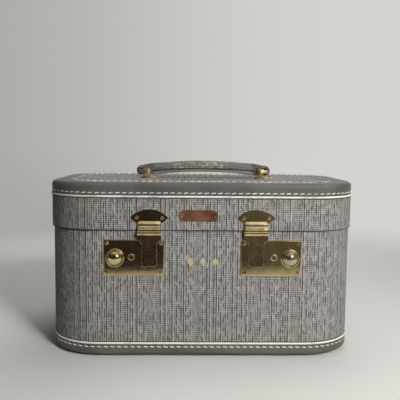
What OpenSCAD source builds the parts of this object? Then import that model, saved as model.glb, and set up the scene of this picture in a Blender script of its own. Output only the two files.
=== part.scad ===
// Cosmetic train case: bent-ply body and overhanging lid, cloth covers with stitched edge binding,
// two slide-bolt latches, a low padded handle on swinging links, folding lid stays and a lift-out tray.
// Front faces -Y, +Z is up, and the origin lies on the floor under the middle of the closed case.

/* [Case] */
// Width of the body over its cover
case_w = 350; // [310:1:420]
// Depth of the body over its cover
case_d = 214; // [190:1:260]
// Height of the body's rim above the floor
body_h = 143.8; // [125:0.1:190]
// Height of the lid above the body's rim
lid_h = 52.7; // [46:0.1:80]
// Plan radius of the body's corners
corner_r = 60; // [50:1:66]
// How far the lid stands out past the body
lid_proud = 2; // [1:0.1:4]
// Thickness of the body's bent-ply wall
ply_t = 4; // [3:0.1:6]
// Thickness of the cloth cover
cover_t = 1; // [0.6:0.1:1.5]
// Thickness of the lining
lining_t = 0.8; // [0.5:0.1:2]
// Thickness of the floor panel
base_t = 5; // [3:0.1:8]
// Thickness of the lid's top panel
top_t = 4; // [3:0.1:6]
// Height of the feet
foot_h = 2; // [1.5:0.1:6]
// Radius of the feet
foot_r = 7.5; // [5:0.1:12]
// Distance of the feet in from the sides
foot_inset = 46; // [38:1:70]

/* [Binding and piping] */
// Thickness of the edge binding
binding_t = 1.2; // [1:0.1:2]
// Height of the binding round the foot of the body
bottom_band = 12.8; // [9:0.1:25]
// Height of the binding round the top of the lid
top_band = 14.4; // [10:0.1:22]
// Width of the binding across the top and the underside
binding_return = 22; // [14:0.5:32]
// Radius of the body's lower edge
bottom_edge_r = 4; // [2:0.1:7]
// Radius of the lid's upper edge
top_edge_r = 5; // [3:0.1:8]
// Diameter of the piping
piping_d = 2; // [1.5:0.1:3]

/* [Rim and tray] */
// Height of the rim lip above the body's rim
lip_h = 9; // [5:0.1:12]
// Depth of the rim lip below the body's rim
lip_depth = 28; // [12:0.5:34]
// Thickness of the rim lip
lip_t = 2; // [1.5:0.1:3]
// Running gap between the lip and the lid's wall
lip_gap = 0.6; // [0.5:0.1:1]
// Height of the tray
tray_h = 43; // [30:1:48]
// Depth of the tray's top edge below the body's rim
tray_sunk = 6; // [2:0.5:12]
// Wall thickness of the tray
tray_wall = 2; // [1.5:0.1:3]
// Floor thickness of the tray
tray_floor = 2; // [1.5:0.1:3]
// Gap between the tray and the lip at front and back
tray_gap = 2; // [1:0.1:4]
// Room between the tray's ends and the linings, where the stays fold
stay_room = 11; // [9:0.5:16]
// Corner radius of the tray
tray_r = 45; // [38:1:47]
// Height of the tray's dividers
divider_h = 30; // [15:1:40]
// Thickness of the dividers
divider_t = 1.6; // [1:0.1:3]
// Place of the cross divider, from the middle
divider_x = -50; // [-90:1:60]
// Place of the long divider, from the middle
divider_y = 12; // [-45:1:45]
// Width of the tray's pull tabs
pull_w = 18; // [12:1:30]
// How far the pull tabs stand above the tray
pull_rise = 7; // [4:0.5:12]
// Width of the ledges that carry the tray
ledge_w = 9; // [6:0.5:14]
// Height of the ledges
ledge_h = 8; // [5:0.5:14]
// Length of the ledges
ledge_len = 210; // [120:1:220]

/* [Rear hinges] */
// Distance of each hinge from the middle
hinge_x = 95; // [60:1:96]
// Width of a hinge
hinge_w = 36; // [28:1:44]
// Height of a hinge leaf
hinge_leaf_h = 24; // [18:0.5:32]
// Thickness of a hinge leaf
hinge_leaf_t = 1.2; // [1:0.1:2]
// Radius of the hinge pins
hinge_pin_r = 1.5; // [1.2:0.1:2]
// Outer radius of the hinge knuckles
hinge_knuckle_r = 2.8; // [2.6:0.1:4]

/* [Locks] */
// Distance of each lock from the middle
lock_x = 76; // [70:1:86]
// Height of the middle of the locks above the floor
lock_z = 113.1; // [104:0.1:116]
// Width of a lock plate
lock_w = 68; // [64:0.5:76]
// Height of a lock plate
lock_h = 41; // [38:0.5:48]
// How far the face of a lock plate stands off the cover
lock_rise = 2; // [1.8:0.1:3]
// Thickness of the pressed lock plate
lock_sheet = 0.8; // [0.6:0.1:1]
// Distance of the knob outward from the middle of the plate
knob_dx = 21; // [19:0.5:23]
// Radius of the knob's flange
knob_flange_r = 10.4; // [8:0.1:12]
// Radius of the knob's dome
knob_r = 7.6; // [5:0.1:8]
// Height of the knob's dome above its flange
knob_dome_h = 4.9; // [3:0.1:7]
// Travel of the knob
knob_travel = 5; // [3:0.1:5]
// Distance of the key plug outward from the middle of the plate
key_dx = 3; // [1:0.5:5]
// Radius of the key plug
key_r = 2.6; // [2:0.1:3.2]
// Distance of the corner rivets in from the plate's ends
rivet_inset = 4.2; // [3.6:0.1:6]
// Depth of the lock case behind the cover's face
lock_case_depth = 4.9; // [4.5:0.1:5]

/* [Hasps] */
// Distance of each hasp from the middle
hasp_x = 59; // [54:0.5:62]
// Width of the hasp's strap
strap_w = 17; // [14:0.5:22]
// Width of the hasp at its knuckles
hasp_w = 26.6; // [24:0.1:32]
// Thickness of the hasp
hasp_t = 1.4; // [1:0.1:1.6]
// Radius of the hasp's pin
hasp_pin_r = 1.1; // [0.8:0.05:1.3]
// Outer radius of the hasp's knuckles
hasp_knuckle_r = 2.6; // [2.3:0.1:3.2]
// Length of the hasp below its pin
hasp_len = 37.4; // [34:0.1:39]
// Width of the crown plate
crown_w = 43; // [36:0.5:50]
// Height of the crown plate's points above the lid's lower edge
crown_z = 14.2; // [12:0.1:18]
// Height of the crown plate's arch above its points
crown_rise = 9.6; // [6:0.1:12]
// Thickness of the crown plate
crown_t = 1.2; // [0.8:0.1:2]

/* [Name plate] */
// Width of the name plate
name_w = 43.4; // [30:0.5:60]
// Height of the name plate
name_h = 12.6; // [8:0.1:18]
// Place of the name plate, from the middle
name_x = -5; // [-12:0.5:12]
// Height of the name plate's middle above the lid's lower edge
name_z = 16.4; // [10:0.1:24]
// Thickness of the name plate
name_t = 0.8; // [0.5:0.1:1.5]

/* [Handle] */
// Place of the handle's middle
handle_x = 2.5; // [-6:0.5:6]
// Half of the distance between the two link pivots
pivot_span = 69.5; // [56:0.5:84]
// Half of the length of the padded grip
grip_half = 65.5; // [50:0.5:80]
// Thickness of the grip
grip_h = 14; // [10:0.5:18]
// Width of the grip
grip_w = 24; // [18:0.5:30]
// Rise of the grip's arch
grip_rise = 4.4; // [2:0.1:8]
// Height of the grip's ends above the lid
grip_z = 3.2; // [3:0.1:5]
// Thickness of the grip's covering
grip_skin = 1.6; // [1:0.1:2.5]
// Height of the seam above the grip's underside
seam_h = 5.4; // [3:0.1:8]
// Thickness of the steel strip in the handle
core_t = 1.6; // [1:0.1:2.5]
// Width of the steel strip in the handle
core_w = 12; // [8:0.5:16]
// Width of the end loops
loop_w = 20; // [16:0.5:24]
// Radius of the links' wire
link_r = 1.2; // [1:0.05:1.5]
// Distance between the two bars of a link
link_len = 11; // [9:0.1:14]
// Lean of the links when the handle is down
lean_down = 60; // [50:1:65]
// Lean of the links when the handle is up
lean_up = 10; // [5:1:20]
// Thickness of the handle's base strips
strip_t = 1.2; // [0.8:0.1:2]
// Length of a base strip
strip_len = 33; // [28:0.5:40]

/* [Lid stays] */
// Distance of the body's stay pivot in front of the hinge axis
stay_a_y = 76; // [70:0.5:84]
// Depth of the body's stay pivot below the hinge axis
stay_a_z = 50; // [40:0.5:58]
// Distance of the lid's stay pivot in front of the hinge axis
stay_b_y = 76; // [70:0.5:82]
// Height of the lid's stay pivot above the hinge axis
stay_b_z = 15; // [14:0.5:20]
// Half of the width of a stay link
stay_half = 5; // [4:0.1:6]
// Thickness of a stay link
stay_t = 1.5; // [1:0.1:2]
// Radius of the stay rivets
stay_pin_r = 1.5; // [1.2:0.1:2]

/* [Mirror] */
// Width of the mirror
mirror_w = 224; // [120:1:240]
// Depth of the mirror
mirror_d = 124; // [80:1:150]
// Thickness of the mirror glass
glass_t = 2.5; // [2:0.1:4]
// Width of the mirror's frame
frame_w = 8; // [5:0.5:12]

/* [Hidden] */
$fn = 64;

// Running clearance on pins and shafts
run_gap = 0.05;
// Gap between faces that pass each other
pass_gap = 0.3;
// Extra length that lets a cut pass right through
over = 1;

// The carcass: planes and insets
wall_in = cover_t + ply_t;
binding_proud = binding_t - cover_t;
base_z = foot_h + binding_t;
floor_z = base_z + base_t;
top_z = body_h + lid_h;
panel_z = top_z - binding_t;
lid_w = case_w + 2 * lid_proud;
lid_d = case_d + 2 * lid_proud;
lid_r = corner_r + lid_proud;
lid_ply_t = lid_proud + ply_t - lip_gap;
lid_in = cover_t + lid_ply_t;
ceiling_z = panel_z - top_t;
bottom_pipe_z = foot_h + bottom_band + piping_d / 2;
top_pipe_z = top_z - top_band - piping_d / 2;
body_front = -case_d / 2;
body_back = case_d / 2;
lid_front = -lid_d / 2;
lid_back = lid_d / 2;

// Rear hinge axis
axis_y = lid_back + hinge_knuckle_r + pass_gap / 2;
axis_z = body_h;
hinge_rivet_r = 2.6;
hinge_rivet_h = 0.9;
hinge_rivet_in = 6;
hinge_rivet_up = 6.5;
hinge_web_t = 1.6;
hinge_web_z = 0.6;
hinge_pin_head_r = hinge_pin_r + 0.6;
hinge_pin_head_t = 1;
shank_r = 1.1;

// Lock planes
plate_y = body_front - lock_rise;
knob_x = lock_x + knob_dx;
key_x = lock_x + key_dx;
flange_t = 1.8;
flange_edge = 0.9;
ring_edge = 1.1;
stem_r = 2.2;
flange_y = plate_y - pass_gap;
knob_front = flange_y - flange_t - knob_dome_h;
lock_case_h = lock_h - 2 * (rivet_inset + shank_r + pass_gap);
lock_case_y = body_front + lock_case_depth;
lock_case_wall = 0.8;
plate_r = 3;
plate_roll = 1.5;
plate_rim = 2.6;
tab_half = stem_r + 0.8;
case_lo = hasp_x - strap_w / 2;
case_hi = knob_x + knob_travel + tab_half + lock_case_wall + 1;
bolt_t = 1.4;
bolt_y = plate_y + lock_sheet + pass_gap / 2;
bolt_h = 5;
bolt_z = lock_z - key_r - bolt_h / 2 - 1;
nose_gap = 0.4;
spring_r = 1.7;
spring_wire = 0.6;
spring_y = body_front + 0.2 + spring_r;
spring_z = bolt_z - bolt_h / 2 - spring_r - 1;
spring_lo = hasp_x + 11;
spring_len = 14;
lug_t = 1.6;
rivet_r = 2.3;
rivet_h = 1;
key_z = lock_z + 1;
key_collar = 0.9;
key_collar_t = 0.7;
key_proud = 0.9;
key_slot_w = 1;
key_slot_h = 3.4;
key_slot_deep = 1.6;
cam_w = 3.2;
cam_t = 1.2;
cam_len = 3 * key_r;

// Hasp planes
hasp_axis_y = lid_front - hasp_knuckle_r - pass_gap;
hasp_axis_z = body_h - hasp_knuckle_r;
strap_back = min(plate_y - pass_gap, hasp_axis_y + hasp_knuckle_r);
strap_end_z = hasp_axis_z - hasp_len;
shoulder_z = hasp_axis_z - 0.36 * hasp_len;
strap_r = 2.4;
catch_w = 3;
catch_h = 4;
catch_z = strap_end_z + 1.1;
catch_tip = plate_y + 1.7;
slot_gap = 0.6;
slot_foot = 0.8;
catch_slot_h = 19.6;
mid_knuckle = 13;
knuckle_gap = 0.2;
leaf_t = -(hasp_axis_y - lid_front) + 0.6;
leaf_z = 0.4;
low_ridge_r = 1.5;
high_ridge_r = 3.2;
high_ridge_h = 4.4;
high_ridge_t = leaf_t - 0.6;
crown_rivet_r = 2.2;
crown_rivet_h = 1;
name_rivet_r = 1.7;
name_rivet_h = 0.8;
name_rivet_in = 3.2;
crown_r = (pow(crown_w / 2, 2) + crown_rise * crown_rise) / (2 * crown_rise);
crown_rivet_x = crown_w / 3.1;

// Handle: pivots, loops and arch
pivot_z = top_z + strip_t + link_r + 0.4;
strip_z = top_z - binding_t + cover_t;
bar_x = pivot_span + link_len * sin(lean_down);
bar_z = pivot_z + link_len * cos(lean_down);
bar_up_x = pivot_span + link_len * sin(lean_up);
slot_slack = 0.4;
slot_head = 0.9;
slot_lo = bar_up_x - link_r - slot_slack;
slot_hi = bar_x + link_r + slot_slack;
slot_z0 = bar_z - link_r - slot_slack;
slot_z1 = bar_z + link_r + slot_slack + slot_head;
loop_under = 1.3;
loop_r = 6.3;
loop_over = 5;
loop_tip = slot_hi + 3.4;
hump_wall = 0.8;
hump_r = link_r + run_gap + hump_wall;
arm_y = loop_w / 2 + link_r + 0.6;
hump_half = arm_y - link_r - 0.5;
arch_r = (grip_half * grip_half + grip_rise * grip_rise) / (2 * grip_rise);
arch_angle = 2 * asin(grip_half / arch_r);
grip_base = top_z + grip_z + grip_rise;
strip_w = 2 * hump_half;
strip_mid = pivot_span + 2.5;
saddle_rivet = 12;
saddle_rivet_r = 2.4;
saddle_rivet_h = 1.3;
strip_r = 5;

// Stays: both pivots as drops from the hinge axis
stay_wall = case_w / 2 - wall_in - lining_t;
stay_lid_wall = lid_w / 2 - lid_in - lining_t;
stay_gap = 0.3;
stay_deep_body = case_w / 2 - cover_t - 1;
stay_deep_lid = lid_w / 2 - cover_t - 1;
stay_pin_head = 0.8;
stay_up_x = case_w / 2 - wall_in - lip_t - pass_gap - stay_pin_head - stay_gap - stay_t;
stay_low_x = stay_up_x - stay_t - stay_gap;
stay_head = 1;
stay_washer = 0.1;
stay_head_r = stay_pin_r + 1.6;
elbow_head_r = stay_pin_r + 1.4;
a_y = axis_y - stay_a_y;
a_z = axis_z - stay_a_z;
b_y = axis_y - stay_b_y;
b_z = axis_z + stay_b_z;
e_y = a_y - stay_b_y;
e_z = a_z + stay_b_z;

// Tray
tray_w = 2 * (stay_wall - stay_room);
tray_d = case_d - 2 * (wall_in + lip_t + tray_gap);
tray_top = body_h - tray_sunk;
tray_z = tray_top - tray_h;
rim_w = 4;
rim_t = 2;
pull_t = 1.4;
pull_len = 18;

// Lid lining and mirror
lining_foot = body_h + lip_h + 2;
mirror_face = ceiling_z - lining_t;
mirror_lip = 2;
mirror_front = mirror_face - glass_t - 0.8;
mirror_r = 12;
mirror_y = 4;
mirror_screw_in = 30;
screw_r = 0.8;
screw_head_r = 1.9;
screw_head_h = 0.8;
screw_grip = 2;

// The plan box is centred on the origin: the knobs reach forward, the hinge knuckles back
front_reach = -knob_front;
rear_reach = axis_y + hinge_knuckle_r;
case_y = (front_reach - rear_reach) / 2;

// Puts everything at the case's place
module place() translate([0, case_y, 0]) children();

// Draws a right-hand piece, or its left-hand mirror image
module handed(side) if (side < 0) mirror([1, 0, 0]) children(); else children();

// Plan outline with round corners
module plan_outline(w, d, r) {
    square([w - 2 * r, d], center = true);
    square([w, d - 2 * r], center = true);
    for (sx = [-1, 1], sy = [-1, 1])
        translate([sx * (w / 2 - r), sy * (d / 2 - r)]) circle(r);
}

// A flat panel with the plan outline drawn in by an inset
module panel(w, d, r, inset, z, t)
    translate([0, 0, z]) linear_extrude(t) plan_outline(w - 2 * inset, d - 2 * inset, r - inset);

// Carries a profile round the plan outline: x = 0 of the profile is the outer face
module round_rim(w, d, r) {
    for (side = [0 : 3]) {
        reach = side % 2 == 0 ? w / 2 : d / 2;
        run = side % 2 == 0 ? d - 2 * r : w - 2 * r;
        rotate([0, 0, 90 * side]) translate([reach, run / 2, 0]) rotate([90, 0, 0])
            linear_extrude(run) children();
    }
    for (corner = [0 : 3]) {
        sx = corner == 0 || corner == 3 ? 1 : -1;
        sy = corner < 2 ? 1 : -1;
        translate([sx * (w / 2 - r), sy * (d / 2 - r), 0]) rotate([0, 0, 90 * corner])
            rotate_extrude(angle = 90) translate([r, 0]) children();
    }
}

// A band of the wall between two heights, inset from the outer face
module band(inset, t, z0, z1) translate([-inset - t, z0]) square([t, z1 - z0]);

// What is cut off a lower outer corner to round it
module round_off(r) difference() {
    translate([-r, -over]) square([r + over, r + over]);
    translate([-r, r]) circle(r);
}

// An edge binding in section: a side, a rounded corner and a return, with the corner at the origin
module binding_profile(side_h, edge_r) difference() {
    translate([-binding_return - edge_r, 0]) square([binding_return + edge_r, side_h]);
    round_off(edge_r);
    translate([-binding_t, binding_t]) difference() {
        translate([-binding_return - edge_r, 0]) square([binding_return + edge_r, side_h]);
        round_off(edge_r - binding_t);
    }
}

// Puts a flat shape up against a plane that faces forward, from y forward by t
module on_front(y, t) translate([0, y, 0]) rotate([90, 0, 0]) linear_extrude(t) children();

// A cylinder along X between two places
module rod_x(x0, x1, r) translate([x0, 0, 0]) rotate([0, 90, 0]) cylinder(r = r, h = x1 - x0);

// A domed rivet standing on z = 0 with its shank below
module rivet(head_r, head_h, r, len) {
    dome_r = (head_r * head_r + head_h * head_h) / (2 * head_h);
    rotate_extrude() intersection() {
        translate([0, head_h - dome_r]) circle(dome_r);
        square([head_r, head_h]);
    }
    translate([0, 0, -len]) cylinder(r = r, h = len);
}

// Where the lock plate's corner rivets sit
module at_lock_rivets() for (sx = [-1, 1], sz = [-1, 1])
    translate([lock_x + sx * (lock_w / 2 - rivet_inset), 0, lock_z + sz * (lock_h / 2 - rivet_inset)])
        children();

// Where the crown plate's rivets sit
module at_crown_rivets() for (sx = [-1, 1])
    translate([hasp_x + sx * crown_rivet_x, 0, body_h + crown_z]) children();

// Where the name plate's rivets sit
module at_name_rivets() for (sx = [-1, 1])
    translate([name_x + sx * (name_w / 2 - name_rivet_in), 0, body_h + name_z]) children();

// Where the rear hinges' rivets sit, below or above the axis
module at_hinge_rivets(up) for (sx = [-1, 1], dx = [-1, 1])
    translate([sx * hinge_x + dx * (hinge_w / 2 - hinge_rivet_in), 0,
               axis_z + up * (hinge_leaf_h - hinge_rivet_up)]) children();

// Where the handle's base strips are riveted
module at_saddle_rivets() for (side = [-1, 1], dx = [-1, 1])
    translate([handle_x + side * (strip_mid + dx * saddle_rivet), 0, 0]) children();

module body_frame() color("burlywood") place() difference() {
    round_rim(case_w, case_d, corner_r) difference() {
        band(cover_t, ply_t, base_z, body_h);
        translate([-cover_t, base_z]) round_off(bottom_edge_r - binding_t);
    }
    lock_openings();
    body_rivet_holes();
    stay_holes_body();
}

module base_panel() color("tan") place() difference() {
    panel(case_w, case_d, corner_r, wall_in, base_z, base_t);
    foot_nails();
}

module base_cover() color("dimgray") place() difference() {
    panel(case_w, case_d, corner_r, binding_return + bottom_edge_r - binding_proud,
          base_z - cover_t, cover_t);
    foot_nails();
}

module body_cover() color("darkgray") place() difference() {
    round_rim(case_w, case_d, corner_r) band(0, cover_t, bottom_pipe_z + piping_d / 2, body_h);
    lock_openings();
    body_rivet_holes();
}

module bottom_binding() color("gray") place()
    round_rim(case_w, case_d, corner_r)
        translate([binding_proud, foot_h]) binding_profile(bottom_band, bottom_edge_r);

module bottom_piping() color("ivory") place()
    round_rim(case_w, case_d, corner_r) translate([0, bottom_pipe_z]) circle(piping_d / 2);

// The nails of the feet
module foot_nails()
    for (sx = [-1, 1], sy = [-1, 1])
        translate([sx * (case_w / 2 - foot_inset), sy * (case_d / 2 - foot_inset), foot_h])
            cylinder(r = shank_r, h = base_z - foot_h + base_t - 1);

module base_feet() color("silver") place() {
    foot_top = base_z - cover_t;
    for (sx = [-1, 1], sy = [-1, 1])
        translate([sx * (case_w / 2 - foot_inset), sy * (case_d / 2 - foot_inset), 0])
            rotate_extrude() intersection() {
                square([foot_r, foot_top]);
                union() {
                    square([foot_r - foot_top, foot_top]);
                    translate([foot_r - foot_top, foot_top]) circle(foot_top);
                }
            }
    foot_nails();
}

module body_lining() color("lightsteelblue") place() difference() {
    union() {
        round_rim(case_w, case_d, corner_r) band(wall_in, lining_t, floor_z, body_h - lip_depth);
        panel(case_w, case_d, corner_r, wall_in, floor_z, lining_t);
    }
    stay_holes_body();
}

module rim_lip() color("lightgray") place()
    round_rim(case_w, case_d, corner_r) union() {
        band(wall_in, lip_t, body_h - lip_depth, body_h + lip_h - lip_t / 2);
        translate([-wall_in - lip_t / 2, body_h + lip_h - lip_t / 2]) circle(lip_t / 2);
    }

module tray_ledges() color("burlywood") place() for (side = [-1, 1])
    translate([-ledge_len / 2, side * (case_d / 2 - wall_in - lining_t) - (side > 0 ? ledge_w : 0),
               tray_z - ledge_h])
        cube([ledge_len, ledge_w, ledge_h]);

// One rear hinge leaf: a plate on the wall, a web and its knuckles, drawn upward from the axis
module hinge_leaf(face_y, spans) {
    difference() {
        union() {
            translate([-hinge_w / 2, face_y, hinge_knuckle_r + pass_gap])
                cube([hinge_w, hinge_leaf_t, hinge_leaf_h - hinge_knuckle_r - pass_gap]);
            for (s = spans) {
                translate([s[0], face_y, hinge_web_z])
                    cube([s[1] - s[0], axis_y - face_y, hinge_knuckle_r + hinge_web_t]);
                translate([0, axis_y, 0]) rod_x(s[0], s[1], hinge_knuckle_r);
            }
        }
        translate([0, axis_y, 0]) rod_x(-hinge_w, hinge_w, hinge_pin_r + run_gap);
        for (dx = [-1, 1])
            translate([dx * (hinge_w / 2 - hinge_rivet_in), face_y - over, hinge_leaf_h - hinge_rivet_up])
                rotate([-90, 0, 0]) cylinder(r = shank_r, h = 2 * over + hinge_leaf_t);
    }
}

function outer_spans(w, mid, gap) = [[-w / 2, -mid / 2 - gap], [mid / 2 + gap, w / 2]];
hinge_mid = hinge_w * 0.38;

module hinge_leaves_lower() color("goldenrod") place() for (side = [-1, 1])
    translate([side * hinge_x, 0, axis_z]) mirror([0, 0, 1])
        hinge_leaf(body_back, outer_spans(hinge_w, hinge_mid, knuckle_gap));

module hinge_leaves_upper() color("goldenrod") place() for (side = [-1, 1])
    translate([side * hinge_x, 0, axis_z])
        hinge_leaf(lid_back, [[-hinge_mid / 2, hinge_mid / 2]]);

module hinge_pins() color("silver") place() for (side = [-1, 1])
    translate([side * hinge_x, axis_y, axis_z]) {
        pin_end = hinge_w / 2 + stay_washer;
        rod_x(-pin_end, pin_end, hinge_pin_r);
        rod_x(-pin_end - hinge_pin_head_t, -pin_end, hinge_pin_head_r);
        rod_x(pin_end, pin_end + hinge_pin_head_t, hinge_pin_head_r);
    }

// The shanks of the rivets in the body's rear and front walls, as holes
module body_rivet_holes() {
    at_hinge_rivets(-1) translate([0, body_back + over, 0]) rotate([90, 0, 0])
        cylinder(r = shank_r, h = wall_in + 2 * over);
    for (side = [-1, 1]) handed(side) at_lock_rivets() translate([0, body_front - over, 0])
        rotate([-90, 0, 0]) cylinder(r = shank_r, h = wall_in + 2 * over);
}

module body_rivets() color("goldenrod") place()
    at_hinge_rivets(-1) translate([0, body_back + hinge_leaf_t, 0]) rotate([-90, 0, 0])
        rivet(hinge_rivet_r, hinge_rivet_h, shank_r, hinge_leaf_t + wall_in);

// The cut in the front wall that takes each lock case
module lock_openings() for (side = [-1, 1]) handed(side)
    translate([case_lo, body_front - over, lock_z - lock_case_h / 2])
        cube([case_hi - case_lo, lock_case_depth + over, lock_case_h]);

// The slot for the catch, the knob's slot and the key plug's hole
module lock_cuts(depth) {
    translate([hasp_x - catch_w / 2 - slot_gap, plate_y - over, catch_z - slot_foot])
        cube([catch_w + 2 * slot_gap, depth, catch_slot_h]);
    slot_r = stem_r + pass_gap;
    translate([knob_x, plate_y - over, lock_z]) rotate([-90, 0, 0]) {
        cylinder(r = slot_r, h = depth);
        translate([knob_travel, 0, 0]) cylinder(r = slot_r, h = depth);
        translate([0, -slot_r, 0]) cube([knob_travel, 2 * slot_r, depth]);
    }
    translate([key_x, plate_y - over, key_z]) rotate([-90, 0, 0])
        cylinder(r = key_r + run_gap, h = depth);
}

// A pressed plate's rolled edge in section: x = 0 is the outer face, y = 0 the cover's face
module rolled_edge() difference() {
    translate([-plate_rim, 0]) square([plate_rim, lock_rise]);
    translate([0, lock_rise]) mirror([0, 1]) round_off(plate_roll);
    translate([-lock_sheet, lock_rise - lock_sheet]) difference() {
        translate([-plate_rim, -lock_rise]) square([plate_rim, lock_rise]);
        mirror([0, 1]) round_off(plate_roll - lock_sheet);
    }
}

module lock_plates() color("gold") place() for (side = [-1, 1]) handed(side) difference() {
    translate([0, body_front, 0]) rotate([90, 0, 0]) union() {
        translate([lock_x, lock_z]) {
            round_rim(lock_w, lock_h, plate_r) rolled_edge();
            panel(lock_w, lock_h, plate_r, plate_rim, lock_rise - lock_sheet, lock_sheet);
        }
        translate([key_x, key_z, lock_rise - lock_sheet])
            cylinder(r = key_r + key_collar, h = lock_sheet + key_collar_t);
    }
    lock_cuts(lock_sheet + 2 * over);
    at_lock_rivets() translate([0, plate_y - over, 0]) rotate([-90, 0, 0])
        cylinder(r = shank_r, h = lock_sheet + 2 * over);
}

module lock_cases() color("silver") place() for (side = [-1, 1]) handed(side) {
    wall = lock_case_wall;
    front = plate_y + lock_sheet;
    lo_z = lock_z - lock_case_h / 2;
    difference() {
        translate([case_lo, front, lo_z]) cube([case_hi - case_lo, lock_case_y - front, lock_case_h]);
        translate([case_lo + wall, front - over, lo_z + wall])
            cube([case_hi - case_lo - 2 * wall, lock_case_y - front - wall + over,
                  lock_case_h - 2 * wall]);
    }
    translate([spring_lo + spring_len, spring_y - spring_r, lo_z + wall])
        cube([lug_t, lock_case_y - wall - spring_y + spring_r, spring_z + spring_r - lo_z - wall]);
}

module lock_rivets() color("gold") place() for (side = [-1, 1]) handed(side)
    at_lock_rivets() translate([0, plate_y, 0]) rotate([90, 0, 0])
        rivet(rivet_r, rivet_h, shank_r, lock_rise + wall_in);

// The knob's return spring, drawn as the sleeve that its coils fill
module bolt_spring(side) color("silver") place() handed(side)
    translate([0, spring_y, spring_z]) difference() {
        rod_x(spring_lo, spring_lo + spring_len, spring_r);
        rod_x(spring_lo - over, spring_lo + spring_len + over, spring_r - spring_wire);
    }

module bolt_spring_left() bolt_spring(-1);
module bolt_spring_right() bolt_spring(1);

// A disc in half section with a rounded upper edge
module soft_disc(r, h, edge) {
    square([r - edge, h]);
    square([r, h - edge]);
    translate([r - edge, h - edge]) circle(edge);
}

// The knob: a flange, a raised ring, a dome and the stem behind them
module knob(side) color("gold") place() handed(side)
    translate([knob_x, flange_y, lock_z]) rotate([90, 0, 0]) {
        ring_h = flange_t + knob_dome_h * 0.42;
        dome_foot = knob_r - ring_edge;
        dome_h = flange_t + knob_dome_h - ring_h;
        dome_r = (dome_foot * dome_foot + dome_h * dome_h) / (2 * dome_h);
        rotate_extrude() union() {
            soft_disc(knob_flange_r, flange_t, flange_edge);
            soft_disc(knob_r, ring_h, ring_edge);
            intersection() {
                translate([0, ring_h + dome_h - dome_r]) circle(dome_r);
                square([dome_foot, ring_h + dome_h]);
            }
        }
        stem_len = bolt_y + bolt_t - flange_y;
        translate([0, 0, -stem_len]) cylinder(r = stem_r, h = stem_len);
    }

module knob_left() knob(-1);
module knob_right() knob(1);

// The bolt: a flat bar with a nose at the catch, a tab under the knob and a shoulder for the spring
module bolt(side) color("silver") place() handed(side) {
    nose = hasp_x + catch_w / 2 + nose_gap;
    bar_end = knob_x + tab_half;
    difference() {
        union() {
            translate([nose, bolt_y, bolt_z - bolt_h / 2]) cube([bar_end - nose, bolt_t, bolt_h]);
            translate([knob_x - tab_half, bolt_y, bolt_z - bolt_h / 2])
                cube([2 * tab_half, bolt_t, lock_z + tab_half - bolt_z + bolt_h / 2]);
            translate([spring_lo - lug_t, bolt_y, spring_z - spring_r])
                cube([lug_t, spring_y + spring_r - bolt_y, bolt_z - spring_z + spring_r]);
        }
        translate([knob_x, bolt_y - over, lock_z]) rotate([-90, 0, 0])
            cylinder(r = stem_r, h = bolt_t + 2 * over);
    }
}

module bolt_left() bolt(-1);
module bolt_right() bolt(1);

// The key plug: a slotted barrel and the cam behind the bolt
module key_plug(side) color("gold") place() handed(side)
    translate([key_x, 0, key_z]) difference() {
        cam_y = bolt_y + bolt_t + pass_gap;
        face_y = plate_y - key_proud;
        union() {
            translate([0, face_y, 0]) rotate([-90, 0, 0]) cylinder(r = key_r, h = cam_y + cam_t - face_y);
            translate([-cam_w / 2, cam_y, 0]) cube([cam_w, cam_t, cam_len]);
        }
        translate([-key_slot_w / 2, face_y - over, -key_slot_h / 2])
            cube([key_slot_w, over + key_slot_deep, key_slot_h]);
    }

module key_plug_left() key_plug(-1);
module key_plug_right() key_plug(1);

module lid_frame() color("burlywood") place() difference() {
    round_rim(lid_w, lid_d, lid_r) difference() {
        band(cover_t, lid_ply_t, body_h, panel_z);
        translate([-cover_t, panel_z]) mirror([0, 1]) round_off(top_edge_r - binding_t);
    }
    lid_rivet_holes();
    stay_holes_lid();
}

module lid_top_panel() color("tan") place() difference() {
    panel(lid_w, lid_d, lid_r, lid_in, ceiling_z, top_t);
    at_saddle_rivets() translate([0, 0, ceiling_z - over]) cylinder(r = shank_r, h = top_t + 2 * over);
    at_mirror_screws() translate([0, 0, ceiling_z - over]) cylinder(r = screw_r, h = over + screw_grip);
}

module lid_cover_side() color("darkgray") place() difference() {
    round_rim(lid_w, lid_d, lid_r) band(0, cover_t, body_h, top_pipe_z - piping_d / 2);
    lid_rivet_holes();
}

module lid_cover_top() color("darkgray") place() difference() {
    panel(lid_w, lid_d, lid_r, binding_return + top_edge_r - binding_proud, panel_z, cover_t);
    at_saddle_rivets() translate([0, 0, panel_z - over]) cylinder(r = shank_r, h = cover_t + 2 * over);
}

module top_binding() color("gray") place()
    round_rim(lid_w, lid_d, lid_r)
        translate([binding_proud, top_z]) mirror([0, 1]) binding_profile(top_band, top_edge_r);

module top_piping() color("ivory") place()
    round_rim(lid_w, lid_d, lid_r) translate([0, top_pipe_z]) circle(piping_d / 2);

module lid_lining() color("lightsteelblue") place() difference() {
    union() {
        round_rim(lid_w, lid_d, lid_r) band(lid_in, lining_t, lining_foot, ceiling_z);
        panel(lid_w, lid_d, lid_r, lid_in, ceiling_z - lining_t, lining_t);
    }
    stay_holes_lid();
    at_mirror_screws() translate([0, 0, mirror_face - over]) cylinder(r = screw_r, h = lining_t + 2 * over);
}

module mirror_glass() color("lightblue") place()
    translate([0, mirror_y, mirror_face - glass_t]) linear_extrude(glass_t)
        plan_outline(mirror_w, mirror_d, mirror_r);

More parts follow.
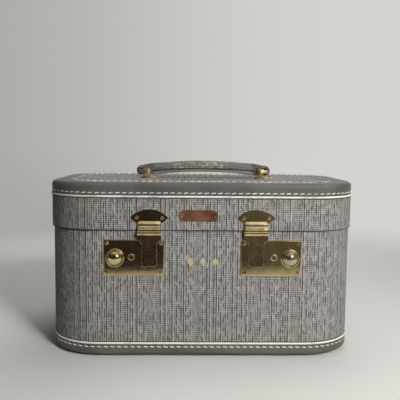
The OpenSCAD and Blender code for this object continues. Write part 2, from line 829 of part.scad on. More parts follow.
module mirror_frame() color("goldenrod") place() difference() {
    translate([0, mirror_y, mirror_front]) linear_extrude(mirror_face - mirror_front)
        plan_outline(mirror_w + 2 * frame_w, mirror_d + 2 * frame_w, mirror_r + frame_w);
    translate([0, mirror_y, mirror_face - glass_t]) linear_extrude(glass_t + over)
        plan_outline(mirror_w, mirror_d, mirror_r);
    translate([0, mirror_y, mirror_front - over]) linear_extrude(glass_t)
        plan_outline(mirror_w - 2 * mirror_lip, mirror_d - 2 * mirror_lip, mirror_r - mirror_lip);
    at_mirror_screws() translate([0, 0, mirror_front - over])
        cylinder(r = screw_r, h = mirror_face - mirror_front + 2 * over);
}

// Where the mirror frame is screwed to the lid
module at_mirror_screws() for (sx = [-1, 1], sy = [-1, 1])
    translate([sx * (mirror_w / 2 - mirror_screw_in), mirror_y + sy * (mirror_d + frame_w) / 2, 0])
        children();

module mirror_screws() color("gold") place() at_mirror_screws()
    translate([0, 0, mirror_front]) mirror([0, 0, 1])
        rivet(screw_head_r, screw_head_h, screw_r, ceiling_z + screw_grip - 0.5 - mirror_front);

// The shanks of the rivets in the lid's walls, as holes
module lid_rivet_holes() {
    at_hinge_rivets(1) translate([0, lid_back + over, 0]) rotate([90, 0, 0])
        cylinder(r = shank_r, h = lid_in + 2 * over);
    for (side = [-1, 1]) handed(side) at_crown_rivets() front_hole();
    at_name_rivets() front_hole();
}

module front_hole() translate([0, lid_front - over, 0]) rotate([-90, 0, 0])
    cylinder(r = shank_r, h = lid_in + 2 * over);

module lid_rivets() color("goldenrod") place() {
    at_hinge_rivets(1) translate([0, lid_back + hinge_leaf_t, 0]) rotate([-90, 0, 0])
        rivet(hinge_rivet_r, hinge_rivet_h, shank_r, hinge_leaf_t + lid_in);
    at_saddle_rivets() translate([0, 0, strip_z + strip_t])
        rivet(saddle_rivet_r, saddle_rivet_h, shank_r, strip_t + cover_t + top_t);
}

// A crown: a pointed arch over a waisted foot, drawn about the hasp's middle line
module crown_outline() {
    intersection() {
        translate([0, crown_z + crown_rise - crown_r]) circle(crown_r);
        translate([0, crown_z - crown_rise + crown_r]) circle(crown_r);
    }
    translate([-hasp_w / 2 + 1, 0]) square([hasp_w - 2, crown_z]);
}

// The leaf between the crown and the knuckles in section: two rounded ridges, y forward of the lid
module leaf_section() {
    square([leaf_t - low_ridge_r, 2 * low_ridge_r]);
    translate([leaf_t - low_ridge_r, low_ridge_r]) circle(low_ridge_r);
    translate([0, 2 * low_ridge_r]) intersection() {
        translate([high_ridge_t - high_ridge_r, high_ridge_h / 2]) circle(high_ridge_r);
        square([high_ridge_t, high_ridge_h]);
    }
}

module hasp_mounts() color("gold") place() for (side = [-1, 1]) handed(side)
    translate([hasp_x, 0, body_h]) difference() {
        leaf_half = hasp_w / 2 - 1;
        axis_dz = hasp_axis_z - body_h;
        union() {
            on_front(lid_front, crown_t) crown_outline();
            translate([-leaf_half, lid_front, leaf_z]) rotate([90, 0, 90]) linear_extrude(2 * leaf_half)
                mirror([1, 0]) leaf_section();
            on_front(lid_front - run_gap, leaf_t - run_gap - low_ridge_r)
                translate([-mid_knuckle / 2, axis_dz])
                    square([mid_knuckle, leaf_z + low_ridge_r - axis_dz]);
            translate([0, hasp_axis_y, axis_dz]) rod_x(-mid_knuckle / 2, mid_knuckle / 2, hasp_knuckle_r);
        }
        translate([0, hasp_axis_y, axis_dz]) rod_x(-hasp_w, hasp_w, hasp_pin_r + run_gap);
        for (s = outer_spans(hasp_w + 2, mid_knuckle, 0)) translate([0, hasp_axis_y, axis_dz])
            rod_x(s[0], s[1], hasp_knuckle_r + pass_gap);
        for (sx = [-1, 1]) translate([sx * crown_rivet_x, lid_front + over, crown_z])
            rotate([90, 0, 0]) cylinder(r = shank_r, h = crown_t + 2 * over);
    }

module front_rivets() color("gold") place() {
    for (side = [-1, 1]) handed(side) at_crown_rivets() translate([0, lid_front - crown_t, 0])
        rotate([90, 0, 0]) rivet(crown_rivet_r, crown_rivet_h, shank_r, crown_t + lid_in);
    at_name_rivets() translate([0, lid_front - name_t, 0])
        rotate([90, 0, 0]) rivet(name_rivet_r, name_rivet_h, shank_r, name_t + lid_in);
}

module hasp_pins() color("gold") place() for (side = [-1, 1]) handed(side)
    translate([hasp_x, hasp_axis_y, hasp_axis_z]) rod_x(-hasp_w / 2, hasp_w / 2, hasp_pin_r);

// A hasp: outer knuckles, a broad head, a shouldered strap and the catch behind it
module hasp(side) color("gold") place() handed(side) translate([hasp_x, 0, 0]) {
    shoulder_r = (hasp_w - strap_w) / 2;
    difference() {
        union() {
            on_front(strap_back, hasp_t) difference() {
                union() {
                    translate([-hasp_w / 2, shoulder_z]) square([hasp_w, hasp_axis_z - shoulder_z]);
                    translate([-strap_w / 2, strap_end_z + strap_r])
                        square([strap_w, shoulder_z - strap_end_z - strap_r]);
                    translate([-strap_w / 2 + strap_r, strap_end_z]) square([strap_w - 2 * strap_r, 2 * strap_r]);
                    for (sx = [-1, 1]) translate([sx * (strap_w / 2 - strap_r), strap_end_z + strap_r])
                        circle(strap_r);
                }
                for (sx = [-1, 1]) translate([sx * hasp_w / 2, shoulder_z]) circle(shoulder_r);
            }
            for (s = outer_spans(hasp_w, mid_knuckle, knuckle_gap))
                translate([0, hasp_axis_y, hasp_axis_z]) rod_x(s[0], s[1], hasp_knuckle_r);
            translate([-catch_w / 2, strap_back - hasp_t / 2, catch_z])
                cube([catch_w, catch_tip - strap_back + hasp_t / 2, catch_h]);
        }
        translate([0, hasp_axis_y, hasp_axis_z]) {
            rod_x(-hasp_w, hasp_w, hasp_pin_r + run_gap);
            rod_x(-mid_knuckle / 2 - knuckle_gap, mid_knuckle / 2 + knuckle_gap,
                  hasp_knuckle_r + pass_gap);
        }
    }
}

module hasp_left() hasp(-1);
module hasp_right() hasp(1);

module name_plate() color("peru") place() difference() {
    on_front(lid_front, name_t) translate([name_x, body_h + name_z])
        plan_outline(name_w, name_h, name_h * 0.42);
    at_name_rivets() translate([0, lid_front + over, 0]) rotate([90, 0, 0])
        cylinder(r = shank_r, h = name_t + 2 * over);
}

// The base strips of the handle, each with a tunnel for its link
module handle_saddles() color("gold") place() for (side = [-1, 1])
    translate([handle_x, 0, 0]) handed(side) difference() {
        union() {
            translate([strip_mid, 0, strip_z]) linear_extrude(strip_t)
                plan_outline(strip_len, strip_w * 0.6, strip_r);
            translate([pivot_span - hump_r, -hump_half, strip_z])
                cube([2 * hump_r, 2 * hump_half, pivot_z - strip_z]);
            translate([pivot_span, hump_half, pivot_z]) rotate([90, 0, 0])
                cylinder(r = hump_r, h = 2 * hump_half);
        }
        translate([pivot_span, hump_half + over, pivot_z]) rotate([90, 0, 0])
            cylinder(r = link_r + run_gap, h = 2 * hump_half + 2 * over);
        for (dx = [-1, 1]) translate([strip_mid + dx * saddle_rivet, 0, strip_z - over])
            cylinder(r = shank_r, h = strip_t + 2 * over);
    }

// A link: a rectangle of wire that leans outward from its tunnel
module link(side) color("gold") place() translate([handle_x, 0, 0]) handed(side)
    translate([pivot_span, 0, pivot_z]) rotate([0, lean_down, 0]) {
        for (z = [0, link_len]) translate([0, arm_y, z]) rotate([90, 0, 0])
            cylinder(r = link_r, h = 2 * arm_y);
        for (sy = [-1, 1]) translate([0, sy * arm_y, 0]) {
            cylinder(r = link_r, h = link_len);
            for (z = [0, link_len]) translate([0, 0, z]) sphere(link_r);
        }
    }

module link_left() link(-1);
module link_right() link(1);

// The grip's section: inset from its outer form, with z = 0 at the underside
module grip_section(inset) {
    side_r = grip_h / 2 - inset;
    translate([0, grip_h / 2]) {
        square([grip_w - grip_h, grip_h - 2 * inset], center = true);
        for (s = [-1, 1]) translate([s * (grip_w - grip_h) / 2, 0]) circle(side_r);
    }
}

// Carries a section along the grip's arch, cut square at both ends: y of the section points up
module along_arch() intersection() {
    spare = 2;
    translate([handle_x, 0, grip_base - arch_r]) rotate([90, 0, 0])
        rotate([0, 0, 90 - arch_angle / 2 - spare])
            rotate_extrude(angle = arch_angle + 2 * spare, $fn = 180)
                translate([arch_r, 0]) rotate([0, 0, -90]) children();
    translate([handle_x - grip_half, -grip_w, top_z])
        cube([2 * grip_half, 2 * grip_w, grip_z + grip_rise + 2 * grip_h]);
}

module handle_cover() color("darkgray") place() along_arch() difference() {
    grip_section(0);
    grip_section(grip_skin);
    translate([-grip_w, -over]) square([2 * grip_w, seam_h + over]);
}

module handle_band() color("gray") place() along_arch() difference() {
    intersection() {
        grip_section(0);
        translate([-grip_w, -over]) square([2 * grip_w, seam_h + over]);
    }
    grip_section(grip_skin);
}

module handle_pad() color("wheat") place() along_arch() difference() {
    grip_section(grip_skin);
    translate([-core_w / 2, grip_h / 2 - core_t / 2]) square([core_w, core_t]);
}

module handle_core() color("silver") place() along_arch()
    translate([-core_w / 2, grip_h / 2 - core_t / 2]) square([core_w, core_t]);

// The end loops: a rounded tongue over the tunnel, slotted for the link's upper bar
module handle_loops() color("darkgray") place() for (side = [-1, 1])
    translate([handle_x, loop_w / 2, 0]) handed(side) rotate([90, 0, 0]) linear_extrude(loop_w)
        difference() {
            union() {
                translate([grip_half, slot_z0 - loop_under])
                    square([loop_tip - loop_r - grip_half, slot_z1 - slot_z0 + loop_under + loop_over]);
                translate([loop_tip - loop_r, slot_z1 + loop_over - loop_r]) circle(loop_r);
            }
            slot_r = (slot_z1 - slot_z0) / 2;
            translate([slot_lo + slot_r, slot_z0]) square([slot_hi - slot_lo - 2 * slot_r, 2 * slot_r]);
            for (x = [slot_lo + slot_r, slot_hi - slot_r])
                translate([x, slot_z0 + slot_r]) circle(slot_r);
        }

// The stays' rivet holes in the body and in the lid
module stay_holes_body() for (side = [-1, 1]) handed(side)
    translate([0, a_y, a_z]) rod_x(stay_wall - over, stay_deep_body, stay_pin_r);

module stay_holes_lid() for (side = [-1, 1]) handed(side)
    translate([0, b_y, b_z]) rod_x(stay_lid_wall - over, stay_deep_lid, stay_pin_r);

// A stay post: a rivet in the wall with a collar outside the link and a head inside it
module stay_post(y, z, link_x, wall_x, deep) translate([0, y, z]) {
    rod_x(link_x - stay_head - stay_gap, deep, stay_pin_r);
    rod_x(link_x - stay_head - stay_washer, link_x - stay_washer, stay_head_r);
    rod_x(link_x + stay_t + stay_washer, wall_x, stay_head_r);
}

module stay_posts_body() color("gold") place() for (side = [-1, 1]) handed(side)
    stay_post(a_y, a_z, stay_low_x, stay_wall, stay_deep_body);

module stay_posts_lid() color("gold") place() for (side = [-1, 1]) handed(side)
    stay_post(b_y, b_z, stay_up_x, stay_lid_wall, stay_deep_lid);

// A flat link between two places in the side view, in its own layer
module stay_link(x, y0, z0, y1, z1, hole0, hole1) {
    run = norm([y1 - y0, z1 - z0]);
    turn = atan2(z1 - z0, y1 - y0);
    translate([x, y0, z0]) rotate([turn, 0, 0]) rotate([90, 0, 90]) linear_extrude(stay_t)
        difference() {
            union() {
                translate([0, -stay_half * 0.8]) square([run, stay_half * 1.6]);
                circle(stay_half);
                translate([run, 0]) circle(stay_half);
            }
            circle(hole0);
            translate([run, 0]) circle(hole1);
        }
}

// The lower link carries the elbow rivet, whose shank runs loosely in the upper link
module stay_lower(side) color("gold") place() handed(side) {
    stay_link(stay_low_x, a_y, a_z, e_y, e_z, stay_pin_r + run_gap, stay_pin_r - 0.5);
    translate([0, e_y, e_z]) {
        head_x = stay_up_x + stay_t + stay_gap;
        rod_x(stay_low_x - stay_pin_head, head_x, stay_pin_r);
        rod_x(stay_low_x - stay_pin_head, stay_low_x, elbow_head_r);
        rod_x(head_x, head_x + stay_pin_head, elbow_head_r);
    }
}

module stay_lower_left() stay_lower(-1);
module stay_lower_right() stay_lower(1);

module stay_upper(side) color("gold") place() handed(side)
    stay_link(stay_up_x, b_y, b_z, e_y, e_z, stay_pin_r + run_gap, stay_pin_r + pass_gap);

module stay_upper_left() stay_upper(-1);
module stay_upper_right() stay_upper(1);

module tray_shell() color("linen") place() {
    round_rim(tray_w, tray_d, tray_r) {
        band(0, tray_wall, tray_z, tray_top);
        translate([-rim_w, tray_top - rim_t]) square([rim_w, rim_t]);
    }
    panel(tray_w, tray_d, tray_r, 0, tray_z, tray_floor);
}

module tray_dividers() color("linen") place() {
    end_y = tray_d / 2 - tray_wall;
    end_x = tray_w / 2 - tray_wall;
    translate([divider_x - divider_t / 2, -end_y, tray_z + tray_floor])
        cube([divider_t, 2 * end_y, divider_h]);
    translate([divider_x, divider_y - divider_t / 2, tray_z + tray_floor])
        cube([end_x - divider_x, divider_t, divider_h]);
}

module tray_pulls() color("saddlebrown") place() for (side = [-1, 1]) handed(side)
    translate([tray_w / 2 - rim_w - pull_t, 0, tray_top + pull_rise - pull_len]) rotate([90, 0, 90])
        linear_extrude(pull_t) {
            translate([-pull_w / 2, 0]) square([pull_w, pull_len - pull_w / 2]);
            translate([0, pull_len - pull_w / 2]) circle(pull_w / 2);
        }

body_frame();
base_panel();
base_cover();
body_cover();
bottom_binding();
bottom_piping();
base_feet();
body_lining();
rim_lip();
tray_ledges();
hinge_leaves_lower();
hinge_pins();
body_rivets();
lock_plates();
lock_cases();
lock_rivets();
bolt_spring_left();
bolt_spring_right();
stay_posts_body();
lid_frame();
lid_top_panel();
lid_cover_side();
lid_cover_top();
top_binding();
top_piping();
lid_lining();
mirror_glass();
mirror_frame();
mirror_screws();
hinge_leaves_upper();
lid_rivets();
hasp_mounts();
front_rivets();
hasp_pins();
name_plate();
handle_saddles();
stay_posts_lid();
hasp_left();
hasp_right();
knob_left();
knob_right();
bolt_left();
bolt_right();
key_plug_left();
key_plug_right();
handle_cover();
handle_band();
handle_pad();
handle_core();
handle_loops();
link_left();
link_right();
stay_lower_left();
stay_lower_right();
stay_upper_left();
stay_upper_right();
tray_shell();
tray_dividers();
tray_pulls();
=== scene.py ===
"""The cosmetic train case, dressed for its picture.

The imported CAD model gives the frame: every size here is in millimetres in that frame, and every
new piece is worked out as whole numpy arrays, either a surface over two parameters or a section
carried along a path. Each class builds and dresses one sub-assembly.
"""
import logging
import math
from dataclasses import dataclass
from enum import Enum
from functools import cache, reduce

import bmesh
import bpy
import numpy as np
from mathutils import Matrix, Vector


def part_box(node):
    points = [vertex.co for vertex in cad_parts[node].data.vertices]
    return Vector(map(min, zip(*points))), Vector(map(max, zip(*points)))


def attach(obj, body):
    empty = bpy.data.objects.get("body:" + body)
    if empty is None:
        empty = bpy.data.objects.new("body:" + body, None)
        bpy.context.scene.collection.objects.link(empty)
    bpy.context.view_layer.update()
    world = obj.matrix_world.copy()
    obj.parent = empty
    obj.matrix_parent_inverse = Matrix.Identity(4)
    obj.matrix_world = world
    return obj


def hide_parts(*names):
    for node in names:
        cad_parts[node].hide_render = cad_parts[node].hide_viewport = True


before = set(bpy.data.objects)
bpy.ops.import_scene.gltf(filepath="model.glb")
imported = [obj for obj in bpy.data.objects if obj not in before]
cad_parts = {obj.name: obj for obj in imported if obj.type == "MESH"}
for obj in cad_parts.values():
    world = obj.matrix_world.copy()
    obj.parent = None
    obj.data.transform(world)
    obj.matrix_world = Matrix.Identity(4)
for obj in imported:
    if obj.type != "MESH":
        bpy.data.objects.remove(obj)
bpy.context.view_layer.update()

LOG = logging.getLogger("train_case")
MM = 0.001
TAU = 2 * math.pi
MERGED = 1e-6  # metres within which points are one
SHARP = math.radians(50)  # a sharper fold stays sharp in a new mesh
EASED = math.radians(35)  # a sharper edge of a CAD copy is eased
LEVEL = math.radians(0.8)  # triangles within this angle are one face
HANDLE_MID = (2.5, 0.625)

Array = np.ndarray
Colour = tuple[float, float, float]
ONE_FACE = np.array([[0, 1, 2, 3]])


class Body(Enum):
    """The CAD bodies that the new pieces ride on."""

    CASE = "case_body"
    LID = "lid"
    HANDLE = "handle"
    TRAY = "tray"


class Slot(Enum):
    """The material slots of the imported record."""

    PLY = "ply"
    TWEED = "tweed"
    BINDING = "binding"
    PIPING = "piping"
    LINING = "lining"
    BRASS = "brass"
    RIVETS = "brass_rivets"
    INNER = "brass_inner"
    STEEL = "steel"
    MIRROR = "mirror"
    COPPER = "copper"
    PADDING = "padding"
    TRAY = "tray"
    LEATHER = "tab_leather"


class Warp(Enum):
    """Which way the cloth's long threads run."""

    UP = "up"
    BACK = "back"
    ALONG = "along"


class Side(Enum):
    """The two like halves of the front, with the sign of x on each."""

    LEFT = -1
    RIGHT = 1

    @property
    def label(self) -> str:
        """The side's word in the names of pieces."""
        return self.name.lower()


def linear(colour: Colour) -> tuple[float, float, float, float]:
    """Turns a display colour into the linear values that shaders take, with full opacity."""
    lin = [c / 12.92 if c <= 0.04045 else ((c + 0.055) / 1.055) ** 2.4 for c in colour]
    return (lin[0], lin[1], lin[2], 1.0)


class Value:
    """An output in a node tree. Sums with it are written as with plain numbers."""

    def __init__(self, graph: "Graph", socket: bpy.types.NodeSocket) -> None:
        """Holds an output of a tree."""
        self.graph, self.socket = graph, socket

    def __add__(self, other: "Value | float") -> "Value":
        """The sum."""
        return self.graph.sums("ADD", self, other)

    def __sub__(self, other: "Value | float") -> "Value":
        """The difference."""
        return self.graph.sums("SUBTRACT", self, other)

    def __rsub__(self, other: float) -> "Value":
        """A plain number less this value."""
        return self.graph.sums("SUBTRACT", other, self)

    def __mul__(self, other: "Value | float") -> "Value":
        """The product."""
        return self.graph.sums("MULTIPLY", self, other)

    def __truediv__(self, other: "Value | float") -> "Value":
        """The quotient."""
        return self.graph.sums("DIVIDE", self, other)

    def __abs__(self) -> "Value":
        """The size without its sign."""
        return self.graph.sums("ABSOLUTE", self)

    def span(self, low: "Value | float", high: float, to_low: float = 0.0, to_high: float = 1.0) -> "Value":
        """Eases the value: to_low at low and below it, and to_high at high and above it."""
        return self.graph.fed("MapRange", (self, low, high, to_low, to_high),
                              interpolation_type="SMOOTHSTEP")


Number = Value | float


class Graph:
    """The node tree of a material, or of the world, driven by a point's own place."""

    def __init__(self, name: str, world: bool = False) -> None:
        """Starts an empty tree.

        Args:
            name: the material's or world's name.
            world: makes a world instead of a material.
        """
        self.world = world
        self.owner = (bpy.data.worlds if world else bpy.data.materials).new(name)
        self.owner.use_nodes = True
        self.tree = self.owner.node_tree
        self.tree.nodes.clear()
        self.place = self.result(self.node("TexCoord"), "Generated" if world else "Object")

    def node(self, kind: str, **settings: object) -> bpy.types.Node:
        """Adds a node.

        Args:
            kind: the kind of node, without the words that they all begin with.
            settings: the node's settings.
        Returns:
            The node.
        """
        made = self.tree.nodes.new(f"ShaderNode{kind}")
        for key, value in settings.items():
            setattr(made, key, value)
        return made

    def result(self, node: bpy.types.Node, key: int | str = 0) -> Value:
        """One of a node's outputs."""
        return Value(self, node.outputs[key])

    def put(self, socket: bpy.types.NodeSocket, value: object) -> None:
        """Links an output to a socket, or writes a plain value on it.

        Args:
            socket: the input that is fed.
            value: the output or the plain value.
        """
        if isinstance(value, Value):
            self.tree.links.new(value.socket, socket)
        else:
            socket.default_value = value

    def fed(self, kind: str, values: tuple[object, ...], **settings: object) -> Value:
        """Adds a node and feeds its inputs in their order.

        Args:
            kind: the kind of node.
            values: what goes into its first inputs.
            settings: the node's settings.
        Returns:
            Its first output.
        """
        made = self.node(kind, **settings)
        for socket, value in zip(made.inputs, values):
            self.put(socket, value)
        return self.result(made)

    def named(self, kind: str, out: int | str = 0, settings: dict[str, object] | None = None,
              **inputs: object) -> Value:
        """Adds a node and feeds its inputs by name.

        Args:
            kind: the kind of node.
            out: the output that is wanted.
            settings: the node's settings.
            inputs: its inputs, with _ for a space.
        Returns:
            The output.
        """
        made = self.node(kind, **(settings or {}))
        for key, value in inputs.items():
            self.put(made.inputs[key.replace("_", " ")], value)
        return self.result(made, out)

    def sums(self, how: str, a: Number, b: Number = 0.0) -> Value:
        """One step of arithmetic on numbers."""
        return self.fed("Math", (a, b), operation=how)

    def most(self, *values: Number) -> Value:
        """The highest of some values."""
        return reduce(lambda a, b: self.sums("MAXIMUM", a, b), values)

    def crease(self, count: Value) -> Value:
        """1 at each whole number of a count and 0 halfway between them."""
        return abs(self.sums("FRACT", count) * 2.0 - 1.0)

    def far(self, x: Value, y: Value) -> Value:
        """The distance from the middle."""
        return self.sums("SQRT", x * x + y * y)

    def mapped(self, scale: Colour, turn: Colour = (0, 0, 0)) -> Value:
        """The place stretched along each axis, then turned by an angle about each."""
        return self.named("Mapping", Vector=self.place, Scale=scale, Rotation=turn)

    def noise(self, per_metre: float, place: Value | None = None, detail: float = 0.0,
              rough: float = 0.5, bend: float = 0.0) -> Value:
        """Soft random values with finer layers: detail says how many, and rough how strong."""
        return self.named("TexNoise", "Fac", Vector=place or self.place, Scale=per_metre,
                          Detail=detail, Roughness=rough, Distortion=bend)

    def parts(self) -> tuple[Value, Value, Value]:
        """The place's three numbers."""
        split = self.named("SeparateXYZ", Vector=self.place).socket.node
        return self.result(split, 0), self.result(split, 1), self.result(split, 2)

    def joined(self, x: Number, y: Number, z: Number) -> Value:
        """A place from three numbers."""
        return self.fed("CombineXYZ", (x, y, z))

    def chance(self, number: Value) -> Value:
        """A random value for each whole number."""
        return self.named("TexWhiteNoise", "Value", {"noise_dimensions": "1D"}, W=number)

    def wall_run(self, flat: tuple[float, float], radius: float, mid_y: float) -> Value:
        """The way round a wall with round corners, from the middle of the front.

        On a flat it is the distance along it, and on a corner the radius times the angle whose
        tangent is the way past the flat in x over the way past it in y. It takes the sign of x.

        Args:
            flat: half the straight lengths, across and back, in metres.
            radius: the corner's radius.
            mid_y: the middle of the part.
        Returns:
            The distance in metres.
        """
        x, y, _ = self.parts()
        far_x, far_y = abs(x), abs(y - mid_y)
        angle = self.sums("ARCTAN2", self.most(far_x - flat[0], 0.0), self.most(far_y - flat[1], 0.0))
        side = flat[1] - self.sums("MINIMUM", far_y, flat[1])
        run = self.sums("MINIMUM", far_x, flat[0]) + (angle * radius + side)
        return run * self.sums("SIGN", x)

    def mix(self, share: Number, a: Colour | Value, b: Colour | Value) -> Value:
        """Mixes two colours.

        Args:
            share: how much of the second one shows.
            a: the first, a display colour or an output.
            b: the second.
        Returns:
            The mixed colour.
        """
        made = self.node("Mix", data_type="RGBA")
        self.put(made.inputs[0], share)
        for socket, colour in zip((made.inputs[6], made.inputs[7]), (a, b)):
            self.put(socket, linear(colour) if isinstance(colour, tuple) else colour)
        return self.result(made, 2)

    def bump(self, height: Value, depth_mm: float, under: Value | None = None) -> Value:
        """The normal of a height, of which 1 is depth_mm deep, laid over the normal under it."""
        more = {} if under is None else {"Normal": under}
        return self.named("Bump", Strength=1.0, Distance=depth_mm * MM, Height=height, **more)

    def seen(self) -> Value:
        """1 for rays of the camera, of metal and of glass, and 0 for light that only brightens."""
        path = self.node("LightPath")
        return self.most(*[self.result(path, f"Is {kind} Ray") for kind in
                           ("Camera", "Glossy", "Transmission")])

    def blend(self, share: Number, a: Value, b: Value) -> Value:
        """Mixes two shaders."""
        return self.fed("MixShader", (share, a, b))

    def end(self, surface: Value) -> bpy.types.Material | bpy.types.World:
        """Ends the tree in a surface.

        Args:
            surface: the last shader.
        Returns:
            The tree's material or world.
        """
        out = self.node("OutputWorld" if self.world else "OutputMaterial")
        self.put(out.inputs["Surface"], surface)
        return self.owner

    def finish(self, colour: Value, **inputs: object) -> bpy.types.Material:
        """Ends the tree in the layered surface shader, whose inputs are fed by name."""
        return self.end(self.named("BsdfPrincipled", Base_Color=colour, **inputs))


@dataclass(frozen=True)
class Finish:
    """A surface, with the name of its material."""

    name: str

    def write(self, g: Graph) -> bpy.types.Material:
        """Writes the material's tree, each kind of finish in its own way."""
        raise NotImplementedError

    @cache
    def material(self) -> bpy.types.Material:
        """The material, made at its first use."""
        return self.write(Graph(self.name))


@dataclass(frozen=True)
class Tweed(Finish):
    """Coated tweed cloth: fine ribs with dark broken gaps, and a faint weft.

    Lengths are in metres. Painted shade lies in dark lines at some heights: the crevice under the
    lid's lower edge, and the cloth beside the piping under the top binding and over the foot
    binding. Worn says how far the middle of the cloth is rubbed pale, up to worn_half each way.
    The tones say how much each thing adds to the ribs' lightness, and the walls' plan leads the
    ribs round their corners.
    """

    warp: Warp = Warp.UP
    pale: Colour = (0.700, 0.691, 0.678)
    shade: Colour = (0.385, 0.380, 0.371)
    dark: Colour = (0.075, 0.072, 0.068)
    tint: Colour = (0.585, 0.575, 0.53)
    rubbed: Colour = (0.78, 0.75, 0.69)
    rib: float = 0.0026
    weft: float = 0.0021
    sway: float = 0.0009
    streaks: float = 110.0
    gap_least: float = 0.42
    gap_more: float = 0.68
    tone: float = 0.60
    tone_chance: float = 0.22
    tone_fibre: float = 0.45
    tone_weft: float = 0.16
    worn: float = 0.0
    worn_half: float = 0.042
    painted_shade_heights: tuple[float, ...] = ()
    plan_flat: tuple[float, float] = (0.115, 0.047)
    plan_radius: float = 0.061
    plan_mid: float = 0.000625

    def threads(self, g: Graph) -> tuple[Value, Value]:
        """Where a point lies on the cloth.

        Args:
            g: the material's tree.
        Returns:
            The way across the ribs and the way along them, in metres.
        """
        x, y, z = g.parts()
        if self.warp is Warp.UP:
            return g.wall_run(self.plan_flat, self.plan_radius, self.plan_mid), z
        if self.warp is Warp.BACK:
            return x, y
        return y + z * 0.8, x

    def rubbing(self, g: Graph, cloth: Value, along: Value) -> Value:
        """Rubs the middle of a cloth pale in specks, and darkens its ends.

        Args:
            g: the material's tree.
            cloth: the colour so far.
            along: the way along the threads from the middle.
        Returns:
            The new colour.
        """
        rub = g.noise(260, detail=3.0).span(0.48, 0.60, 0.0, self.worn)
        spot = g.noise(900, detail=1.0).span(0.45, 0.6)
        held = abs(along).span(self.worn_half * 0.6, self.worn_half, 1.0, 0.12)
        cloth = g.mix(rub * spot * held, cloth, self.rubbed)
        return g.mix(abs(along).span(0.045, 0.078, 0.0, 0.42), cloth, self.dark)

    def write(self, g: Graph) -> bpy.types.Material:
        """The way across is counted in ribs. Near a whole number lies a gap, whose depth is chance
        for each gap and noise along it. Between them each rib has its own tone, with noise along
        it, a finer line down its middle, and a sine along the thread for the weft.

        Args:
            g: the empty tree.
        Returns:
            The material.
        """
        across, along = self.threads(g)
        sway = g.noise(1.0, g.joined(across * 90, along * 9, 0.0))
        ribs = (across + (sway - 0.5) * self.sway) / self.rib
        gap_no, rib_no = g.sums("ROUND", ribs), g.sums("FLOOR", ribs)
        streak = along * self.streaks
        broken = g.noise(1.0, g.joined(gap_no * 7.31, streak, 2.0), detail=2.5, rough=0.6)
        strong = (broken + (g.chance(gap_no) - 0.5) * 0.27).span(0.40, 0.60)
        wander = g.noise(1.0, g.joined(across * 60, along * 60, 4.0))
        wave = g.sums("SINE", along * (TAU / self.weft) + wander * 4.0)
        depth = strong * self.gap_more + (self.gap_least - wave * 0.06)
        gap = g.crease(ribs).span(0.68 - strong * 0.36, 0.90) * depth
        faded = g.noise(1.0, g.joined(rib_no * 4.17, streak, 5.0)).span(0.42, 0.60, 0.16, 0.66)
        line = g.crease(ribs + ribs).span(0.55, 1.0) * faded
        tone = g.noise(1.0, g.joined(rib_no * 5.3, along * 120, 8.0), detail=2.0)
        fibre = g.noise(1.0, g.joined(across * 1700, along * 160, 1.0))
        level = (tone * self.tone + (g.chance(rib_no) - 0.5) * self.tone_chance) \
            + (fibre * self.tone_fibre + wave * self.tone_weft)
        cloth = g.mix(level.span(0.16, 0.90), self.shade, self.pale)
        cloth = g.mix(g.noise(40, detail=1.0).span(0.45, 0.65, 0.0, 0.22), cloth, self.tint)
        # painted shade: a dark line at each of these heights, where the lid's edge and the piping shade the
        # cloth
        lines = [abs(g.parts()[2] - height).span(0.0003, 0.0017, 0.88, 0.0) for height in self.painted_shade_heights]
        dark = g.most(gap, line, *lines)
        cloth = g.mix(dark, cloth, self.dark)
        if self.worn > 0:
            cloth = self.rubbing(g, cloth, along)
        normal = g.bump(dark * -0.8 + level * 0.5, 0.20, under=g.bump(g.noise(9, detail=2.0), 0.8))
        return g.finish(cloth, Roughness=fibre.span(0.3, 0.7, 0.58, 0.72), Normal=normal,
                        Specular_IOR_Level=0.30)


@dataclass(frozen=True)
class Vinyl(Finish):
    """Smooth coated binding: fine grain, soft clouds and pale rubbed specks."""

    base: Colour = (0.355, 0.35, 0.335)
    deep: Colour = (0.30, 0.295, 0.28)
    rubbed: Colour = (0.50, 0.49, 0.46)
    roughness: float = 0.42

    def write(self, g: Graph) -> bpy.types.Material:
        """Three sizes of noise give clouds, grain and rubbed specks.

        Args:
            g: the empty tree.
        Returns:
            The material.
        """
        cloud, grain = g.noise(26, detail=3.0), g.noise(1500, detail=2.0)
        pores = g.named("TexVoronoi", "Distance", Vector=g.place, Scale=1150)
        speck = g.noise(120, detail=4.0).span(0.60, 0.70) * g.noise(1300).span(0.5, 0.65, 0.0, 0.55)
        colour = g.mix(speck, g.mix(cloud.span(0.35, 0.65), self.deep, self.base), self.rubbed)
        rough = (cloud * 0.5 + grain * 0.5).span(0.35, 0.65, self.roughness - 0.07, self.roughness + 0.10)
        folds = g.bump(g.noise(45, detail=2.0), 0.35, under=g.bump(grain, 0.03))
        return g.finish(colour, Roughness=rough, Normal=g.bump(pores.span(0.0, 0.5), 0.035, under=folds),
                        Specular_IOR_Level=0.5)


@dataclass(frozen=True)
class Thread(Finish):
    """Ivory thread or piping with a fine twist and a little dirt."""

    base: Colour = (0.95, 0.94, 0.905)
    low: Colour = (0.88, 0.862, 0.815)
    dirt: Colour = (0.70, 0.665, 0.60)

    def write(self, g: Graph) -> bpy.types.Material:
        """Slanted fine noise gives the twist, and slow noise the dirt.

        Args:
            g: the empty tree.
        Returns:
            The material.
        """
        twist = g.noise(1400, g.mapped((1.0, 1.0, 0.45), turn=(0.4, 0.5, 0.0)), detail=1.0)
        dirt = g.noise(70, detail=4.0).span(0.48, 0.70, 0.0, 0.75)
        colour = g.mix(dirt, g.mix(twist.span(0.4, 0.6), self.low, self.base), self.dirt)
        return g.finish(colour, Roughness=0.62, Normal=g.bump(twist, 0.06), Specular_IOR_Level=0.3)


